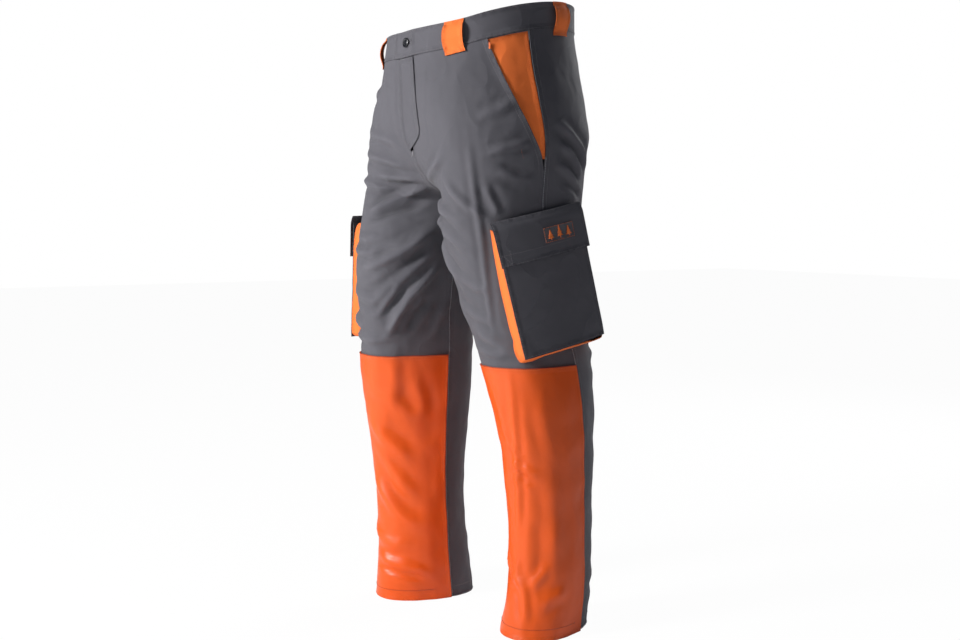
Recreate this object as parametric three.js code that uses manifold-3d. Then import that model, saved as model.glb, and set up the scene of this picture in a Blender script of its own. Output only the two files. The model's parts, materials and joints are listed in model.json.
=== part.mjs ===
// Chainsaw work trousers in their worn shape. Millimetres, +Z up.
// The wearer faces -Y, the wearer's left is +X, and both hems stand at z = 0.
// Every cloth piece is a thin layer at a stated depth from one master skin, the outer face of the cloth.

import * as THREE from 'three';
import Module from 'manifold-3d';
import { mergeVertices } from 'three/addons/utils/BufferGeometryUtils.js';

const wasm = await Module();
wasm.setup();

// Overall cut
const INSEAM = 768;
const FRONT_RISE = 289;
const WAIST_HALF_WIDTH = 182;
const WAIST_HALF_DEPTH = 158;
const SEAT_HALF_WIDTH = 218;
const HEM_HALF_WIDTH = 67;
const HEM_HALF_DEPTH = 98;
const HEM_SPREAD = 150;
const LEFT_TOE_OUT = 22 * Math.PI / 180;
const RIGHT_TOE_OUT = 13 * Math.PI / 180;

// Cloth and the gap kept between two pieces
const CLOTH = 1.2;
const COATED_CLOTH = 1.4;
const PAD = 5;
const LINING = 0.6;
const GAP = 0.3;

// Waist
const BAND_HEIGHT = 45;
const OVERLAP = 20;
const UNDERLAP = 30;
const LOOP_WIDTH = 40;
const LOOP_HEIGHT = 57;
const LOOP_BULGE = 7.5;
const BUTTON_RADIUS = 8.5;
const BUTTON_AT = 15;

// Fly
const ZIP_LENGTH = 140;
const ZIP_SLOT = 9;
const FLY_WIDTH = 32;
const FLY_STAND = 1.5;

// Lower front panels, hip pockets and cargo pockets
const SHIN_TOP = 478;
const POCKET_MOUTH_LOW = 826;
const POCKET_MOUTH_TOP_SHARE = 0.7;
const CARGO_TOP = 742;
const CARGO_SHIFT = { left: 8, right: -16 };
const CARGO_WIDTH = 172;
const CARGO_HEIGHT = 235;
const CARGO_TILT = { left: 12 * Math.PI / 180, right: 2 * Math.PI / 180 };
const CARGO_DEPTH = 34;
const FLAP_WIDTH = 180;
const FLAP_HEIGHT = 78;
const TAPE_WIDTH = 110;
const TAPE_HEIGHT = 20;

const RIGHT_ANGLE = Math.PI / 2;
const LEFT = ['left', 1];
const RIGHT = ['right', -1];
const SIDES = [LEFT, RIGHT];

const trousers = new THREE.Group();

// ---- Materials ----

const finish = (color, roughness, metalness = 0) =>
  new THREE.MeshStandardMaterial({ color, roughness, metalness });
const GREY_TWILL = finish(0x5c5a5e, 0.85);
const ORANGE_TWILL = finish(0xf6813a, 0.8);
const ORANGE_COATED = finish(0xe25b23, 0.4);
const DARK_LINING = finish(0x2b2b30, 0.9);
const PAD_FIBRE = finish(0xd8d4c8, 0.95);
const BLACK_PLASTIC = finish(0x17171a, 0.35);
const DARK_METAL = finish(0x55575c, 0.35, 0.9);
const TAPE_NYLON = finish(0x222227, 0.9);

// ---- Small helpers ----

const lerp = THREE.MathUtils.lerp;
const smooth = (at, low, high) => THREE.MathUtils.smoothstep(at, low, high);
const signedPower = (value, power) => Math.sign(value) * Math.abs(value) ** power;
const steps = (from, to, count) =>
  Array.from({ length: count + 1 }, (_, k) => lerp(from, to, k / count));

// A smooth curve through [position, value] points
function profile(...points) {
  const last = points.length - 1;
  const slope = (k) => {
    const [p0, v0] = points[Math.max(k - 1, 0)];
    const [p1, v1] = points[Math.min(k + 1, last)];
    return (v1 - v0) / (p1 - p0);
  };
  return (at) => {
    if (at <= points[0][0]) return points[0][1];
    if (at >= points[last][0]) return points[last][1];
    const k = points.findIndex(([position]) => position > at) - 1;
    const [p0, v0] = points[k];
    const [p1, v1] = points[k + 1];
    const span = p1 - p0;
    const t = (at - p0) / span;
    const s = 1 - t;
    return v0 * s * s * (1 + 2 * t) + v1 * t * t * (3 - 2 * t)
      + span * t * s * (slope(k) * s - slope(k + 1) * t);
  };
}

// ---- The master skin ----

// Leg sections, by the share of the inseam above the floor
const legHalfWidth = profile([0, HEM_HALF_WIDTH], [0.15, HEM_HALF_WIDTH - 3], [0.51, 72],
  [0.66, 80], [0.82, 92], [1, 104]);
const legHalfDepth = profile([0, HEM_HALF_DEPTH], [0.13, HEM_HALF_DEPTH - 9], [0.28, 87],
  [0.4, 96], [0.51, 105], [0.66, 110], [0.82, 118], [1, 142]);
const legSquareness = profile([0, 2.1], [0.51, 2.2], [0.7, 2.7], [1, 2.6]);
const legAxisX = profile([0, HEM_SPREAD], [0.51, HEM_SPREAD - 4], [0.82, 112], [1, 104]);
const legAxisY = {
  left: profile([0, 44], [0.15, 56], [0.51, 46], [0.82, 10], [1, -12]),
  right: profile([0, -34], [0.51, -50], [0.82, -68], [1, -40]),
};
const legTurn = {
  left: profile([0, LEFT_TOE_OUT], [0.51, LEFT_TOE_OUT * 0.7], [0.9, 0]),
  right: profile([0, RIGHT_TOE_OUT], [0.51, RIGHT_TOE_OUT], [0.9, 0]),
};
const inseamAngle = profile([0, 112], [0.6, 108], [0.95, 90]);
const outseamAngle = profile([0, 98], [0.6, 96], [0.95, 90]);

// Hip sections, by the share of the front rise above the crotch
const hipHalfWidth = profile([-0.3, 205], [0.3, SEAT_HALF_WIDTH], [0.62, 208], [0.81, 194],
  [1, WAIST_HALF_WIDTH]);
const hipHalfDepth = profile([-0.3, 180], [0.3, 190], [0.62, 180], [0.81, 164],
  [1, WAIST_HALF_DEPTH]);
const hipCentreY = {
  left: profile([0, -2], [0.3, -4], [1, 0]),
  right: profile([0, -24], [0.3, -15], [0.7, -4], [1, 0]),
};
const SIDE_SEAM_FORWARD = 0.055;
const HIP_SQUARENESS = 2.15;

// Centre seams as [y, share of the front rise above the crotch]
const seamCurve = (points) => new THREE.SplineCurve(
  points.map(([y, share]) => new THREE.Vector2(y, share * (FRONT_RISE - BAND_HEIGHT))));
const centreFront = seamCurve([[-18, 0], [-58, 0.03], [-94, 0.09], [-122, 0.2], [-142, 0.34],
  [-153, 0.5], [-157, 0.7], [-WAIST_HALF_DEPTH - 2, 1]]);
const centreBack = seamCurve([[-18, 0], [34, 0.02], [84, 0.08], [124, 0.22], [152, 0.42],
  [166, 0.66], [164, 0.86], [WAIST_HALF_DEPTH + 3, 1]]);

// The waist's top edge above its front height, by share: 0 centre front, 1 side seam, 2 centre back
const waistRise = profile([0, 0], [0.48, 8], [0.75, 24], [1, 38], [1.25, 47], [2, 49]);
const waistTop = (around) => INSEAM + FRONT_RISE + waistRise(around);

// Rows run from 0 at the hem through CROTCH_ROW and BAND_ROW, the waistband's lower edge, to 1 at its top edge
const CROTCH_ROW = 0.6;
const BAND_ROW = 0.95;
const backRiseRatio = 1 + waistRise(2) / (FRONT_RISE - BAND_HEIGHT);

// A skin point: around is 0 at the inner edge, 1 at the side seam and 2 at the back's inner edge
function skin(side, around, row) {
  const [name, sign] = side;
  const rise = (row - CROTCH_ROW) / (BAND_ROW - CROTCH_ROW);
  if (around < 0 || around > 2) {
    if (rise <= 0) return skin(side, (around + 2) % 2, row);
    return skin(side, around < 0 ? -around : 4 - around, row).multiply(new THREE.Vector3(-1, 1, 1));
  }
  const front = around <= 1;
  const across = front ? around : 2 - around;
  let height = INSEAM * row / CROTCH_ROW;
  let seam = null;
  if (rise > 0) {
    seam = (front ? centreFront : centreBack).getPointAt(Math.min(rise, 1));
    const seamHeight = front ? seam.y : seam.y * backRiseRatio;
    const fullHeight = (at) => waistTop(at) - BAND_HEIGHT - INSEAM;
    const lift = seamHeight - Math.min(rise, 1) * fullHeight(front ? 0 : 2);
    height = INSEAM + Math.min(rise, 1) * fullHeight(around) + lift * (1 - smooth(across, 0, 0.8));
    if (rise > 1) {
      const share = (row - BAND_ROW) / (1 - BAND_ROW);
      height += BAND_HEIGHT * share;
      seam.x = lerp(seam.x, (front ? -1 : 1) * WAIST_HALF_DEPTH, share);
    }
  }
  const share = height / INSEAM;
  const above = (height - INSEAM) / FRONT_RISE;

  const inner = -inseamAngle(share);
  const outer = outseamAngle(share);
  const degrees = front ? lerp(inner, outer, across) : lerp(360 + inner, outer, across);
  const legPoint = (angleDegrees) => {
    const angle = angleDegrees * Math.PI / 180;
    const power = 2 / legSquareness(share);
    const x = legHalfWidth(share) * signedPower(Math.sin(angle), power);
    const y = -legHalfDepth(share) * signedPower(Math.cos(angle), power);
    const turn = legTurn[name](share);
    return new THREE.Vector2(
      legAxisX(share) + x * Math.cos(turn) - y * Math.sin(turn),
      legAxisY[name](share) + x * Math.sin(turn) + y * Math.cos(turn));
  };
  const point = legPoint(degrees);
  const seamForward = SIDE_SEAM_FORWARD * smooth(above, 0.2, 0.9);
  const hipAngle = RIGHT_ANGLE * (around - seamForward * Math.sin(around * RIGHT_ANGLE));
  const hipPoint = new THREE.Vector2(
    hipHalfWidth(above) * signedPower(Math.sin(hipAngle), 2 / HIP_SQUARENESS),
    hipCentreY[name](above) - hipHalfDepth(above) * signedPower(Math.cos(hipAngle), 2 / HIP_SQUARENESS));
  const hipWeight = smooth(above, -0.35, 0.4);
  const innerPoint = legPoint(inner).lerp(new THREE.Vector2(GAP / 2, centreFront.points[0].x),
    smooth(share, 0.9, 1));
  const innerNow = legPoint(inner).lerp(new THREE.Vector2(0, hipCentreY[name](above)
    - hipHalfDepth(above) * (front ? 1 : -1)), hipWeight);
  if (seam) innerPoint.set(GAP / 2, seam.x);
  const pull = innerPoint.sub(innerNow).multiplyScalar(1 - smooth(across, 0, 0.55));
  point.lerp(hipPoint, hipWeight).add(pull);
  return new THREE.Vector3(sign * Math.max(point.x, GAP / 2), point.y, height);
}

// The skin's outward direction
function outward(side, around, row) {
  const step = 0.004;
  const low = Math.max(row - step, 0);
  const high = Math.min(row + step, 1);
  const across = skin(side, around + step, row).sub(skin(side, around - step, row));
  const up = skin(side, around, high).sub(skin(side, around, low));
  return across.cross(up).multiplyScalar(side[1]).normalize();
}

// The row at which the skin reaches a height
function rowAt(side, around, height) {
  let low = 0;
  let high = 1;
  for (let k = 0; k < 24; k += 1) {
    const middle = (low + high) / 2;
    if (skin(side, around, middle).z < height) low = middle;
    else high = middle;
  }
  return (low + high) / 2;
}

// ---- The lattice that every layer shares, so that layers at different depths never cross ----

// Columns: -1 is the centre front, 0 the front panel's inner edge, 9 its outer edge, which the slanted
// hip pocket draws in, 11 the side seam and 19 the back panel's inner edge.
const FRONT_EDGE = 9;
const SIDE_SEAM = 11;
const BACK_EDGE = 19;
const SHIN_ROW = CROTCH_ROW * SHIN_TOP / INSEAM;
const zipTopHeight = INSEAM + FRONT_RISE - BAND_HEIGHT - 2;
const zipBottomHeight = zipTopHeight - ZIP_LENGTH;
const LEG_ROWS = [
  ...[0, 0.048, 0.134, 0.268, 0.428, 0.576, 0.71, 0.843].map((share) => share * SHIN_ROW),
  ...[0, 0.095, 0.272, 0.448, 0.625, 0.779, 0.912, 1].map((share) => lerp(SHIN_ROW, CROTCH_ROW, share)),
];
const HIP_ROWS = steps(CROTCH_ROW, BAND_ROW, 9).slice(1);
const PANEL_TOP = 0.963;
const BAND_ROWS = [PANEL_TOP, 0.98, 1];
const ROW_LINES = [...LEG_ROWS, ...HIP_ROWS, ...BAND_ROWS];

// How far round the slanted hip pocket lets the front panel reach at a row
function mouthAround(side, row) {
  const height = skin(side, 1, Math.min(row, BAND_ROW)).z;
  const top = waistTop(1) - BAND_HEIGHT;
  const share = THREE.MathUtils.clamp((height - POCKET_MOUTH_LOW) / (top - POCKET_MOUTH_LOW), 0, 1);
  return lerp(1, POCKET_MOUTH_TOP_SHARE, share);
}

// The front panel's inner edge leaves a slot for the zip
function slotAround(side, row) {
  const height = skin(side, 0, row).z;
  const share = ZIP_SLOT / (WAIST_HALF_WIDTH * RIGHT_ANGLE);
  return share * smooth(height, zipBottomHeight - 30, zipBottomHeight - 12);
}

function aroundAt(side, column, row) {
  const slot = slotAround(side, row);
  const mouth = mouthAround(side, row);
  if (column < 0) return lerp(0, slot, column + 1);
  if (column <= FRONT_EDGE) return lerp(slot, mouth, column / FRONT_EDGE);
  if (column <= SIDE_SEAM) return lerp(mouth, 1, (column - FRONT_EDGE) / (SIDE_SEAM - FRONT_EDGE));
  return lerp(1, 2, (column - SIDE_SEAM) / (BACK_EDGE - SIDE_SEAM));
}

const knots = new Map();
function knot(side, column, line) {
  const key = `${side[0]} ${column} ${line}`;
  if (!knots.has(key)) {
    const around = aroundAt(side, column, ROW_LINES[line]);
    const direction = outward(side, around, ROW_LINES[line]);
    // The hem is cut level, so that it stands flat
    if (line === 0) direction.setZ(0).normalize();
    knots.set(key, { point: skin(side, around, ROW_LINES[line]), direction });
  }
  return knots.get(key);
}

// A point at a stated distance out from the lattice, kept on its own side of the centre
function layer(side, column, row, distance) {
  const i = Math.min(Math.floor(column), BACK_EDGE - 1);
  const line = Math.min(ROW_LINES.findLastIndex((value) => value <= row + 1e-9), ROW_LINES.length - 2);
  const u = column - i;
  const v = (row - ROW_LINES[line]) / (ROW_LINES[line + 1] - ROW_LINES[line]);
  const point = new THREE.Vector3();
  for (const [di, dj, weight] of [[0, 0, (1 - u) * (1 - v)], [1, 0, u * (1 - v)], [0, 1, (1 - u) * v],
    [1, 1, u * v]]) {
    if (weight > 1e-9) {
      const corner = knot(side, i + di, line + dj);
      point.addScaledVector(corner.point, weight);
      point.addScaledVector(corner.direction, weight * distance);
    }
  }
  point.x = side[1] * Math.max(side[1] * point.x, GAP / 2);
  return point;
}

// The lattice row at which a column reaches a height
function latticeRow(side, column, height) {
  let low = 0;
  let high = 1;
  for (let k = 0; k < 24; k += 1) {
    const middle = (low + high) / 2;
    if (layer(side, column, middle, 0).z < height) low = middle;
    else high = middle;
  }
  return (low + high) / 2;
}

// The lattice lines inside a span, with its two ends
const between = (lines, from, to) => [from, ...lines.filter((v) => v > from + 0.004 && v < to - 0.004), to];
const COLUMN_LINES = steps(-1, BACK_EDGE, BACK_EDGE + 1);
const columnSpan = (from, to) => [from, ...COLUMN_LINES.filter((v) => v > from + 0.05 && v < to - 0.05), to];
const rowSpan = (from, to) => between(ROW_LINES, from, to);
const SEAM = 0.006;

// ---- Making meshes ----

// A triangle list with its faces turned outwards
function closedGeometry(positions, index) {
  const geometry = new THREE.BufferGeometry();
  geometry.setAttribute('position', new THREE.Float32BufferAttribute(positions, 3));
  let volume = 0;
  const corner = (k) => new THREE.Vector3().fromArray(positions, 3 * index[k]);
  for (let k = 0; k < index.length; k += 3) {
    volume += corner(k).dot(corner(k + 1).cross(corner(k + 2)));
  }
  geometry.setIndex(volume < 0 ? index.slice().reverse() : index);
  return geometry;
}

// A thin closed layer over a grid. weldedRows joins the last column to the first up to that row, and
// turned says where a column pair runs backwards, so that its cells still split along the same diagonal.
function sheetGeometry(columns, rows, point, weldedRows = -1, turned = () => false) {
  const positions = [];
  for (let j = 0; j <= rows; j += 1) {
    for (let i = 0; i <= columns; i += 1) {
      positions.push(...point(i, j, false).toArray(), ...point(i, j, true).toArray());
    }
  }
  const at = (i, j, outer) => {
    const column = i === columns && j <= weldedRows ? 0 : i;
    return 2 * (j * (columns + 1) + column) + (outer ? 1 : 0);
  };
  const index = [];
  const quad = (a, b, c, d) => index.push(a, b, c, a, c, d);
  for (let j = 0; j < rows; j += 1) {
    for (let i = 0; i < columns; i += 1) {
      for (const out of [true, false]) {
        const corners = [at(i, j, out), at(i + 1, j, out), at(i + 1, j + 1, out), at(i, j + 1, out)];
        if (turned(i)) corners.push(corners.shift());
        if (!out) corners.splice(1, 3, corners[3], corners[2], corners[1]);
        quad(...corners);
      }
    }
  }
  for (let i = 0; i < columns; i += 1) {
    quad(at(i, 0, false), at(i + 1, 0, false), at(i + 1, 0, true), at(i, 0, true));
    quad(at(i, rows, true), at(i + 1, rows, true), at(i + 1, rows, false), at(i, rows, false));
  }
  for (let j = Math.max(weldedRows, 0); j < rows; j += 1) {
    quad(at(0, j, true), at(0, j + 1, true), at(0, j + 1, false), at(0, j, false));
    quad(at(columns, j, false), at(columns, j + 1, false), at(columns, j + 1, true),
      at(columns, j, true));
  }
  return closedGeometry(positions, index);
}

function addNode(name, geometry, material) {
  const mesh = new THREE.Mesh(geometry, material);
  mesh.name = name;
  trousers.add(mesh);
  return mesh;
}

function toSolid(geometry) {
  const bare = geometry.clone();
  bare.deleteAttribute('normal');
  bare.deleteAttribute('uv');
  const merged = mergeVertices(bare, 1e-3);
  return new wasm.Manifold(new wasm.Mesh({
    numProp: 3,
    vertProperties: merged.attributes.position.array,
    triVerts: new Uint32Array(merged.index.array),
  }));
}

function fromSolid(solid) {
  const { vertProperties, triVerts } = solid.getMesh();
  const geometry = new THREE.BufferGeometry();
  geometry.setAttribute('position', new THREE.BufferAttribute(vertProperties, 3));
  geometry.setIndex(new THREE.BufferAttribute(triVerts, 1));
  return geometry;
}

// A layer over the lattice columns and rows given, between two depths
function skinLayer(side, columns, rows, inner, outer) {
  return sheetGeometry(columns.length - 1, rows.length - 1, (i, j, out) =>
    layer(side, columns[i], rows[j], out ? outer : inner));
}

// ---- Body panels ----

function addBodyPanels(side) {
  const [name] = side;
  const rows = rowSpan(0, PANEL_TOP);
  addNode(`${name}_front_panel`, skinLayer(side, columnSpan(SEAM, FRONT_EDGE - SEAM), rows, -CLOTH, 0),
    GREY_TWILL);
  addNode(`${name}_back_panel`, skinLayer(side, columnSpan(SIDE_SEAM + SEAM, BACK_EDGE - SEAM), rows,
    -CLOTH, 0), GREY_TWILL);
}

function addShinPanel(side) {
  const [name] = side;
  addNode(`${name}_shin_panel`, skinLayer(side, columnSpan(0.1, FRONT_EDGE - 0.07),
    rowSpan(0, SHIN_ROW), GAP, GAP + COATED_CLOTH), ORANGE_COATED);
}

// ---- Inner layers: pocket bag, protective insert, lining ----

const FACING_OUT = -CLOTH - GAP;
const FACING_IN = FACING_OUT - CLOTH;
const BAG_OUT = FACING_IN - GAP;
const BAG_IN = BAG_OUT - 1.6;
const PAD_OUT = BAG_IN - GAP - 0.5;
const PAD_IN = PAD_OUT - PAD;
const LINING_OUT = PAD_IN - 2;
const PAD_HEM_CLEARANCE = 45;
const LINING_HEM_CLEARANCE = 60;
const PAD_ABOVE_CROTCH = 200;

function addInsert(side) {
  const [name] = side;
  const top = latticeRow(side, 6, INSEAM + PAD_ABOVE_CROTCH);
  const rows = rowSpan(CROTCH_ROW * PAD_HEM_CLEARANCE / INSEAM, top);
  addNode(`${name}_protective_insert`, skinLayer(side, columnSpan(1.5, 8.5), rows, PAD_IN, PAD_OUT),
    PAD_FIBRE);
}

function addLining(side) {
  const [name] = side;
  const rows = rowSpan(CROTCH_ROW * LINING_HEM_CLEARANCE / INSEAM, BAND_ROW - 0.012);
  const weldedRows = rows.indexOf(CROTCH_ROW);
  const columns = [0, 1, ...steps(2, FRONT_EDGE, FRONT_EDGE - 2), ...steps(SIDE_SEAM, BACK_EDGE, 8)];
  addNode(`${name}_lining`, sheetGeometry(columns.length - 1, rows.length - 1, (i, j, out) => {
    const open = smooth(rows[j], CROTCH_ROW, CROTCH_ROW + 0.1);
    const clear = Math.max(columns[i], lerp(columns[i], 1.4 + i * 0.3, open));
    return layer(side, i < 2 ? clear : columns[i], rows[j], out ? LINING_OUT : LINING_OUT - LINING);
  }, weldedRows), DARK_LINING);
}

// ---- Hip pockets ----

function addHipPocket(side) {
  const [name] = side;
  const mouthRow = rowAt(side, 1, POCKET_MOUTH_LOW + 6);
  const facingTop = BAND_ROW - 0.002;
  addNode(`${name}_pocket_facing`, skinLayer(side, columnSpan(FRONT_EDGE - 1, SIDE_SEAM - 0.05),
    rowSpan(mouthRow, facingTop), FACING_IN, FACING_OUT), ORANGE_TWILL);
  const bagBottom = latticeRow(side, 7, POCKET_MOUTH_LOW - 60);
  addNode(`${name}_pocket_bag`, skinLayer(side, columnSpan(5, FRONT_EDGE - 0.2),
    rowSpan(bagBottom, BAND_ROW - 0.012), BAG_IN, BAG_OUT), DARK_LINING);
}

// ---- Waist ----

// A strip round the waist. Each stop is [side, column, lift]; drops are depths below the top edge.
function waistStrip(stops, drops, inner, outer) {
  return sheetGeometry(stops.length - 1, drops.length - 1, (i, j, out) => {
    const [side, column, lift] = stops[i];
    const drop = drops[drops.length - 1 - j];
    const row = drop <= BAND_HEIGHT ? 1 - (1 - BAND_ROW) * drop / BAND_HEIGHT
      : BAND_ROW - (drop - BAND_HEIGHT) * (BAND_ROW - CROTCH_ROW) / (FRONT_RISE + waistRise(1) - BAND_HEIGHT);
    return layer(side, column, row, (out ? outer : inner) + lift(drop));
  }, -1, (i) => stops[i][0] === RIGHT && stops[i][1] > stops[i + 1][1]);
}

const WAIST_QUARTER = WAIST_HALF_WIDTH * RIGHT_ANGLE * 0.97;
const flat = () => 0;
const BAND_LIFT = CLOTH + GAP;

// The lattice column at a distance round the waist from the centre front
function columnFromFront(distance) {
  const around = distance / WAIST_QUARTER;
  const slot = slotAround(LEFT, 1);
  if (around < slot) return around / slot - 1;
  return FRONT_EDGE * (around - slot) / (POCKET_MOUTH_TOP_SHARE - slot);
}

const stopsAlong = (side, columns, lift) => columns.map((column) => [side, column, lift]);

function addWaistband() {
  const raised = () => BAND_LIFT;
  const rampStart = columnFromFront(UNDERLAP + 6);
  const rampEnd = rampStart + 1;
  const stops = [
    ...stopsAlong(RIGHT, [columnFromFront(OVERLAP), 0], raised),
    [LEFT, -0.98, raised], ...stopsAlong(LEFT, columnSpan(0, rampStart), raised),
    ...stopsAlong(LEFT, columnSpan(rampEnd, BACK_EDGE - 0.02), flat),
    ...stopsAlong(RIGHT, columnSpan(-0.98, BACK_EDGE - 0.02).reverse(), flat),
    ...stopsAlong(LEFT, columnSpan(0, columnFromFront(UNDERLAP)), flat),
  ];
  const half = BAND_HEIGHT * (1 - BAND_ROWS[1]) / (1 - BAND_ROW);
  const allowance = BAND_HEIGHT * (1 - PANEL_TOP) / (1 - BAND_ROW);
  const band = toSolid(waistStrip(stops, [0, half, allowance, BAND_HEIGHT], GAP,
    GAP + CLOTH));
  // The buttonhole goes through the overlapping end only
  const { centre, direction } = buttonPlace();
  const slot = new THREE.BoxGeometry(22, BAND_LIFT + 4, 5.4);
  const middle = centre.clone().addScaledVector(direction, BAND_LIFT / 2 + 2);
  slot.translate(middle.x + 7.5, middle.y, middle.z);
  addNode('waistband', fromSolid(band.subtract(toSolid(slot))), GREY_TWILL);

  const facingStops = [
    ...stopsAlong(LEFT, columnSpan(1.2, BACK_EDGE - 0.02), flat),
    ...stopsAlong(RIGHT, columnSpan(1.2, BACK_EDGE - 0.02).reverse(), flat),
  ];
  const drops = [0.6, half, allowance, BAND_HEIGHT];
  addNode('waistband_facing', waistStrip(facingStops, drops, FACING_IN - GAP, FACING_OUT - GAP),
    DARK_LINING);
  const stiffener = CLOTH - GAP;
  addNode('waistband_interlining', waistStrip(facingStops, [2, half, allowance - 1],
    -GAP - stiffener, -GAP), PAD_FIBRE);
}

// The button's foot on the underlapping end's outer face, and its outward direction
function buttonPlace() {
  const column = columnFromFront(BUTTON_AT);
  const row = lerp(BAND_ROW, 1, 0.54);
  const around = aroundAt(LEFT, column, row);
  return { centre: layer(LEFT, column, row, 1.5 * GAP + CLOTH), direction: outward(LEFT, around, row) };
}

function addButton() {
  const { centre, direction } = buttonPlace();
  const base = CLOTH + 3 * GAP;
  const outline = [[0, 0], [2, 0], [2, base], [BUTTON_RADIUS, base], [BUTTON_RADIUS, base + 2.4],
    [BUTTON_RADIUS - 1.6, base + 3], [BUTTON_RADIUS - 3, base + 2], [0, base + 2]];
  const lathe = new THREE.LatheGeometry(outline.map(([r, h]) => new THREE.Vector2(r, h)), 24);
  const button = addNode('waist_button', lathe, BLACK_PLASTIC);
  button.position.copy(centre);
  button.quaternion.setFromUnitVectors(new THREE.Vector3(0, 1, 0), direction);
}

function addBeltLoops() {
  const drops = [0, 5, 11, BAND_HEIGHT / 2, 34, BAND_HEIGHT, LOOP_HEIGHT - 5, LOOP_HEIGHT];
  const bulge = profile([0, 0], [5, 0], [13, LOOP_BULGE], [38, LOOP_BULGE], [50, 0.4],
    [LOOP_HEIGHT, 0.2]);
  const inner = 2 * GAP + CLOTH;
  const strap = (stops) => waistStrip(stops, drops, inner, inner + CLOTH);
  const frontHalf = LOOP_WIDTH / 2 / WAIST_QUARTER * FRONT_EDGE / (POCKET_MOUTH_TOP_SHARE
    - slotAround(LEFT, 1));
  const backHalf = LOOP_WIDTH / 2 / WAIST_QUARTER * (BACK_EDGE - SIDE_SEAM);
  for (const side of SIDES) {
    const places = [['front', 5.9, frontHalf], ['back', SIDE_SEAM + 2, backHalf]];
    for (const [place, column, half] of places) {
      addNode(`${side[0]}_${place}_belt_loop`,
        strap(stopsAlong(side, columnSpan(column - half, column + half), bulge)), ORANGE_TWILL);
    }
  }
  const centreColumns = columnSpan(BACK_EDGE - 0.8 * backHalf, BACK_EDGE - 0.02);
  const centreStops = [...stopsAlong(LEFT, centreColumns, bulge),
    ...stopsAlong(RIGHT, centreColumns.slice().reverse(), bulge)];
  addNode('centre_back_belt_loop', strap(centreStops), ORANGE_TWILL);
}

// ---- Fly ----

// The zip runs straight between two points under the centre front; its own x is sideways,
// its own y is out and its own z is up the zip.
function zipFrame() {
  const place = (height) => skin(LEFT, 0, rowAt(LEFT, 0, height)).setX(0);
  const top = place(zipTopHeight);
  const bottom = place(zipBottomHeight);
  const up = top.clone().sub(bottom).normalize();
  const out = new THREE.Vector3(1, 0, 0).cross(up).normalize();
  const sideways = up.clone().cross(out).negate();
  const basis = new THREE.Matrix4().makeBasis(sideways.negate(), out, up);
  return { bottom, length: top.distanceTo(bottom), basis };
}

function addFly() {
  const { bottom, length, basis } = zipFrame();
  const zip = new THREE.Group();
  zip.applyMatrix4(basis.clone().setPosition(bottom));
  trousers.add(zip);
  const block = (name, [wide, thick, tall], [x, y, z], material) => {
    const mesh = new THREE.Mesh(new THREE.BoxGeometry(wide, thick, tall), material);
    mesh.name = name;
    mesh.position.set(x, y, z);
    zip.add(mesh);
  };
  const TAPE_DEPTH = -7;
  const pitch = 5;
  const teeth = Math.floor((length - 14) / pitch);
  for (const [name, sign] of SIDES) {
    block(`${name}_zip_tape`, [14, 0.8, length], [sign * 10.5, TAPE_DEPTH, length / 2], TAPE_NYLON);
    const outline = new THREE.Shape();
    const start = sign > 0 ? 6 : 6 + pitch / 2;
    outline.moveTo(sign * 3.2, start);
    outline.lineTo(sign * 2, start);
    for (let k = 0; k < teeth; k += 1) {
      const z = start + k * pitch;
      outline.lineTo(sign * 2, z);
      outline.lineTo(sign * -1.6, z + 0.2);
      outline.lineTo(sign * -1.6, z + pitch / 2 - 0.5);
      outline.lineTo(sign * 2, z + pitch / 2 - 0.3);
    }
    outline.lineTo(sign * 3.2, start + (teeth - 0.5) * pitch);
    const row = new THREE.Mesh(new THREE.ExtrudeGeometry(outline,
      { depth: 2, bevelEnabled: false }), DARK_METAL);
    row.name = `${name}_zip_teeth`;
    row.rotation.x = RIGHT_ANGLE;
    row.position.set(0, TAPE_DEPTH + 1, 0);
    zip.add(row);
  }
  block('zip_bottom_stop', [6, 2.6, 4], [0, TAPE_DEPTH, 3], DARK_METAL);

  const sliderHeight = 10;
  const sliderMiddle = length - sliderHeight / 2 - 1;
  const cheek = 1;
  const slider = new THREE.Group();
  slider.position.set(0, TAPE_DEPTH, sliderMiddle);
  zip.add(slider);
  const outerPlate = new THREE.Mesh(new THREE.BoxGeometry(8.4, cheek, sliderHeight), DARK_METAL);
  outerPlate.name = 'zip_slider';
  outerPlate.position.set(0, 1 + GAP + cheek / 2, 0);
  slider.add(outerPlate);
  const tab = new THREE.Shape();
  tab.absarc(0, 0, 3, 0, Math.PI);
  tab.lineTo(-2.6, -18);
  tab.absarc(0, -18, 2.6, Math.PI, 2 * Math.PI);
  tab.closePath();
  const pull = new THREE.Mesh(new THREE.ExtrudeGeometry(tab,
    { depth: 1.2, bevelEnabled: false, curveSegments: 8 }), DARK_METAL);
  pull.name = 'zip_pull';
  pull.rotation.x = RIGHT_ANGLE;
  pull.position.set(0, 1 + 2 * GAP + cheek + 1.2, 0);
  slider.add(pull);

  block('fly_shield', [46, CLOTH, length], [0, TAPE_DEPTH - 3.2, length / 2 - 1], GREY_TWILL);
}

function addFlyFlap() {
  const wide = columnFromFront(FLY_WIDTH);
  const stops = [[RIGHT, -0.25], [LEFT, -0.98], [LEFT, 0], ...columnSpan(0.5, wide).map((c) => [LEFT, c])];
  const top = BAND_ROW - 0.0015;
  const rows = 9;
  addNode('fly_flap', sheetGeometry(stops.length - 1, rows, (i, j, out) => {
    const [side, column] = stops[i];
    const share = i / (stops.length - 1);
    const bottom = latticeRow(side, column, zipBottomHeight - 16 + 34 * share * share);
    return layer(side, column, lerp(bottom, top, j / rows), FLY_STAND + (out ? CLOTH : 0));
  }), GREY_TWILL);
}

// ---- Cargo pockets ----

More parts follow.
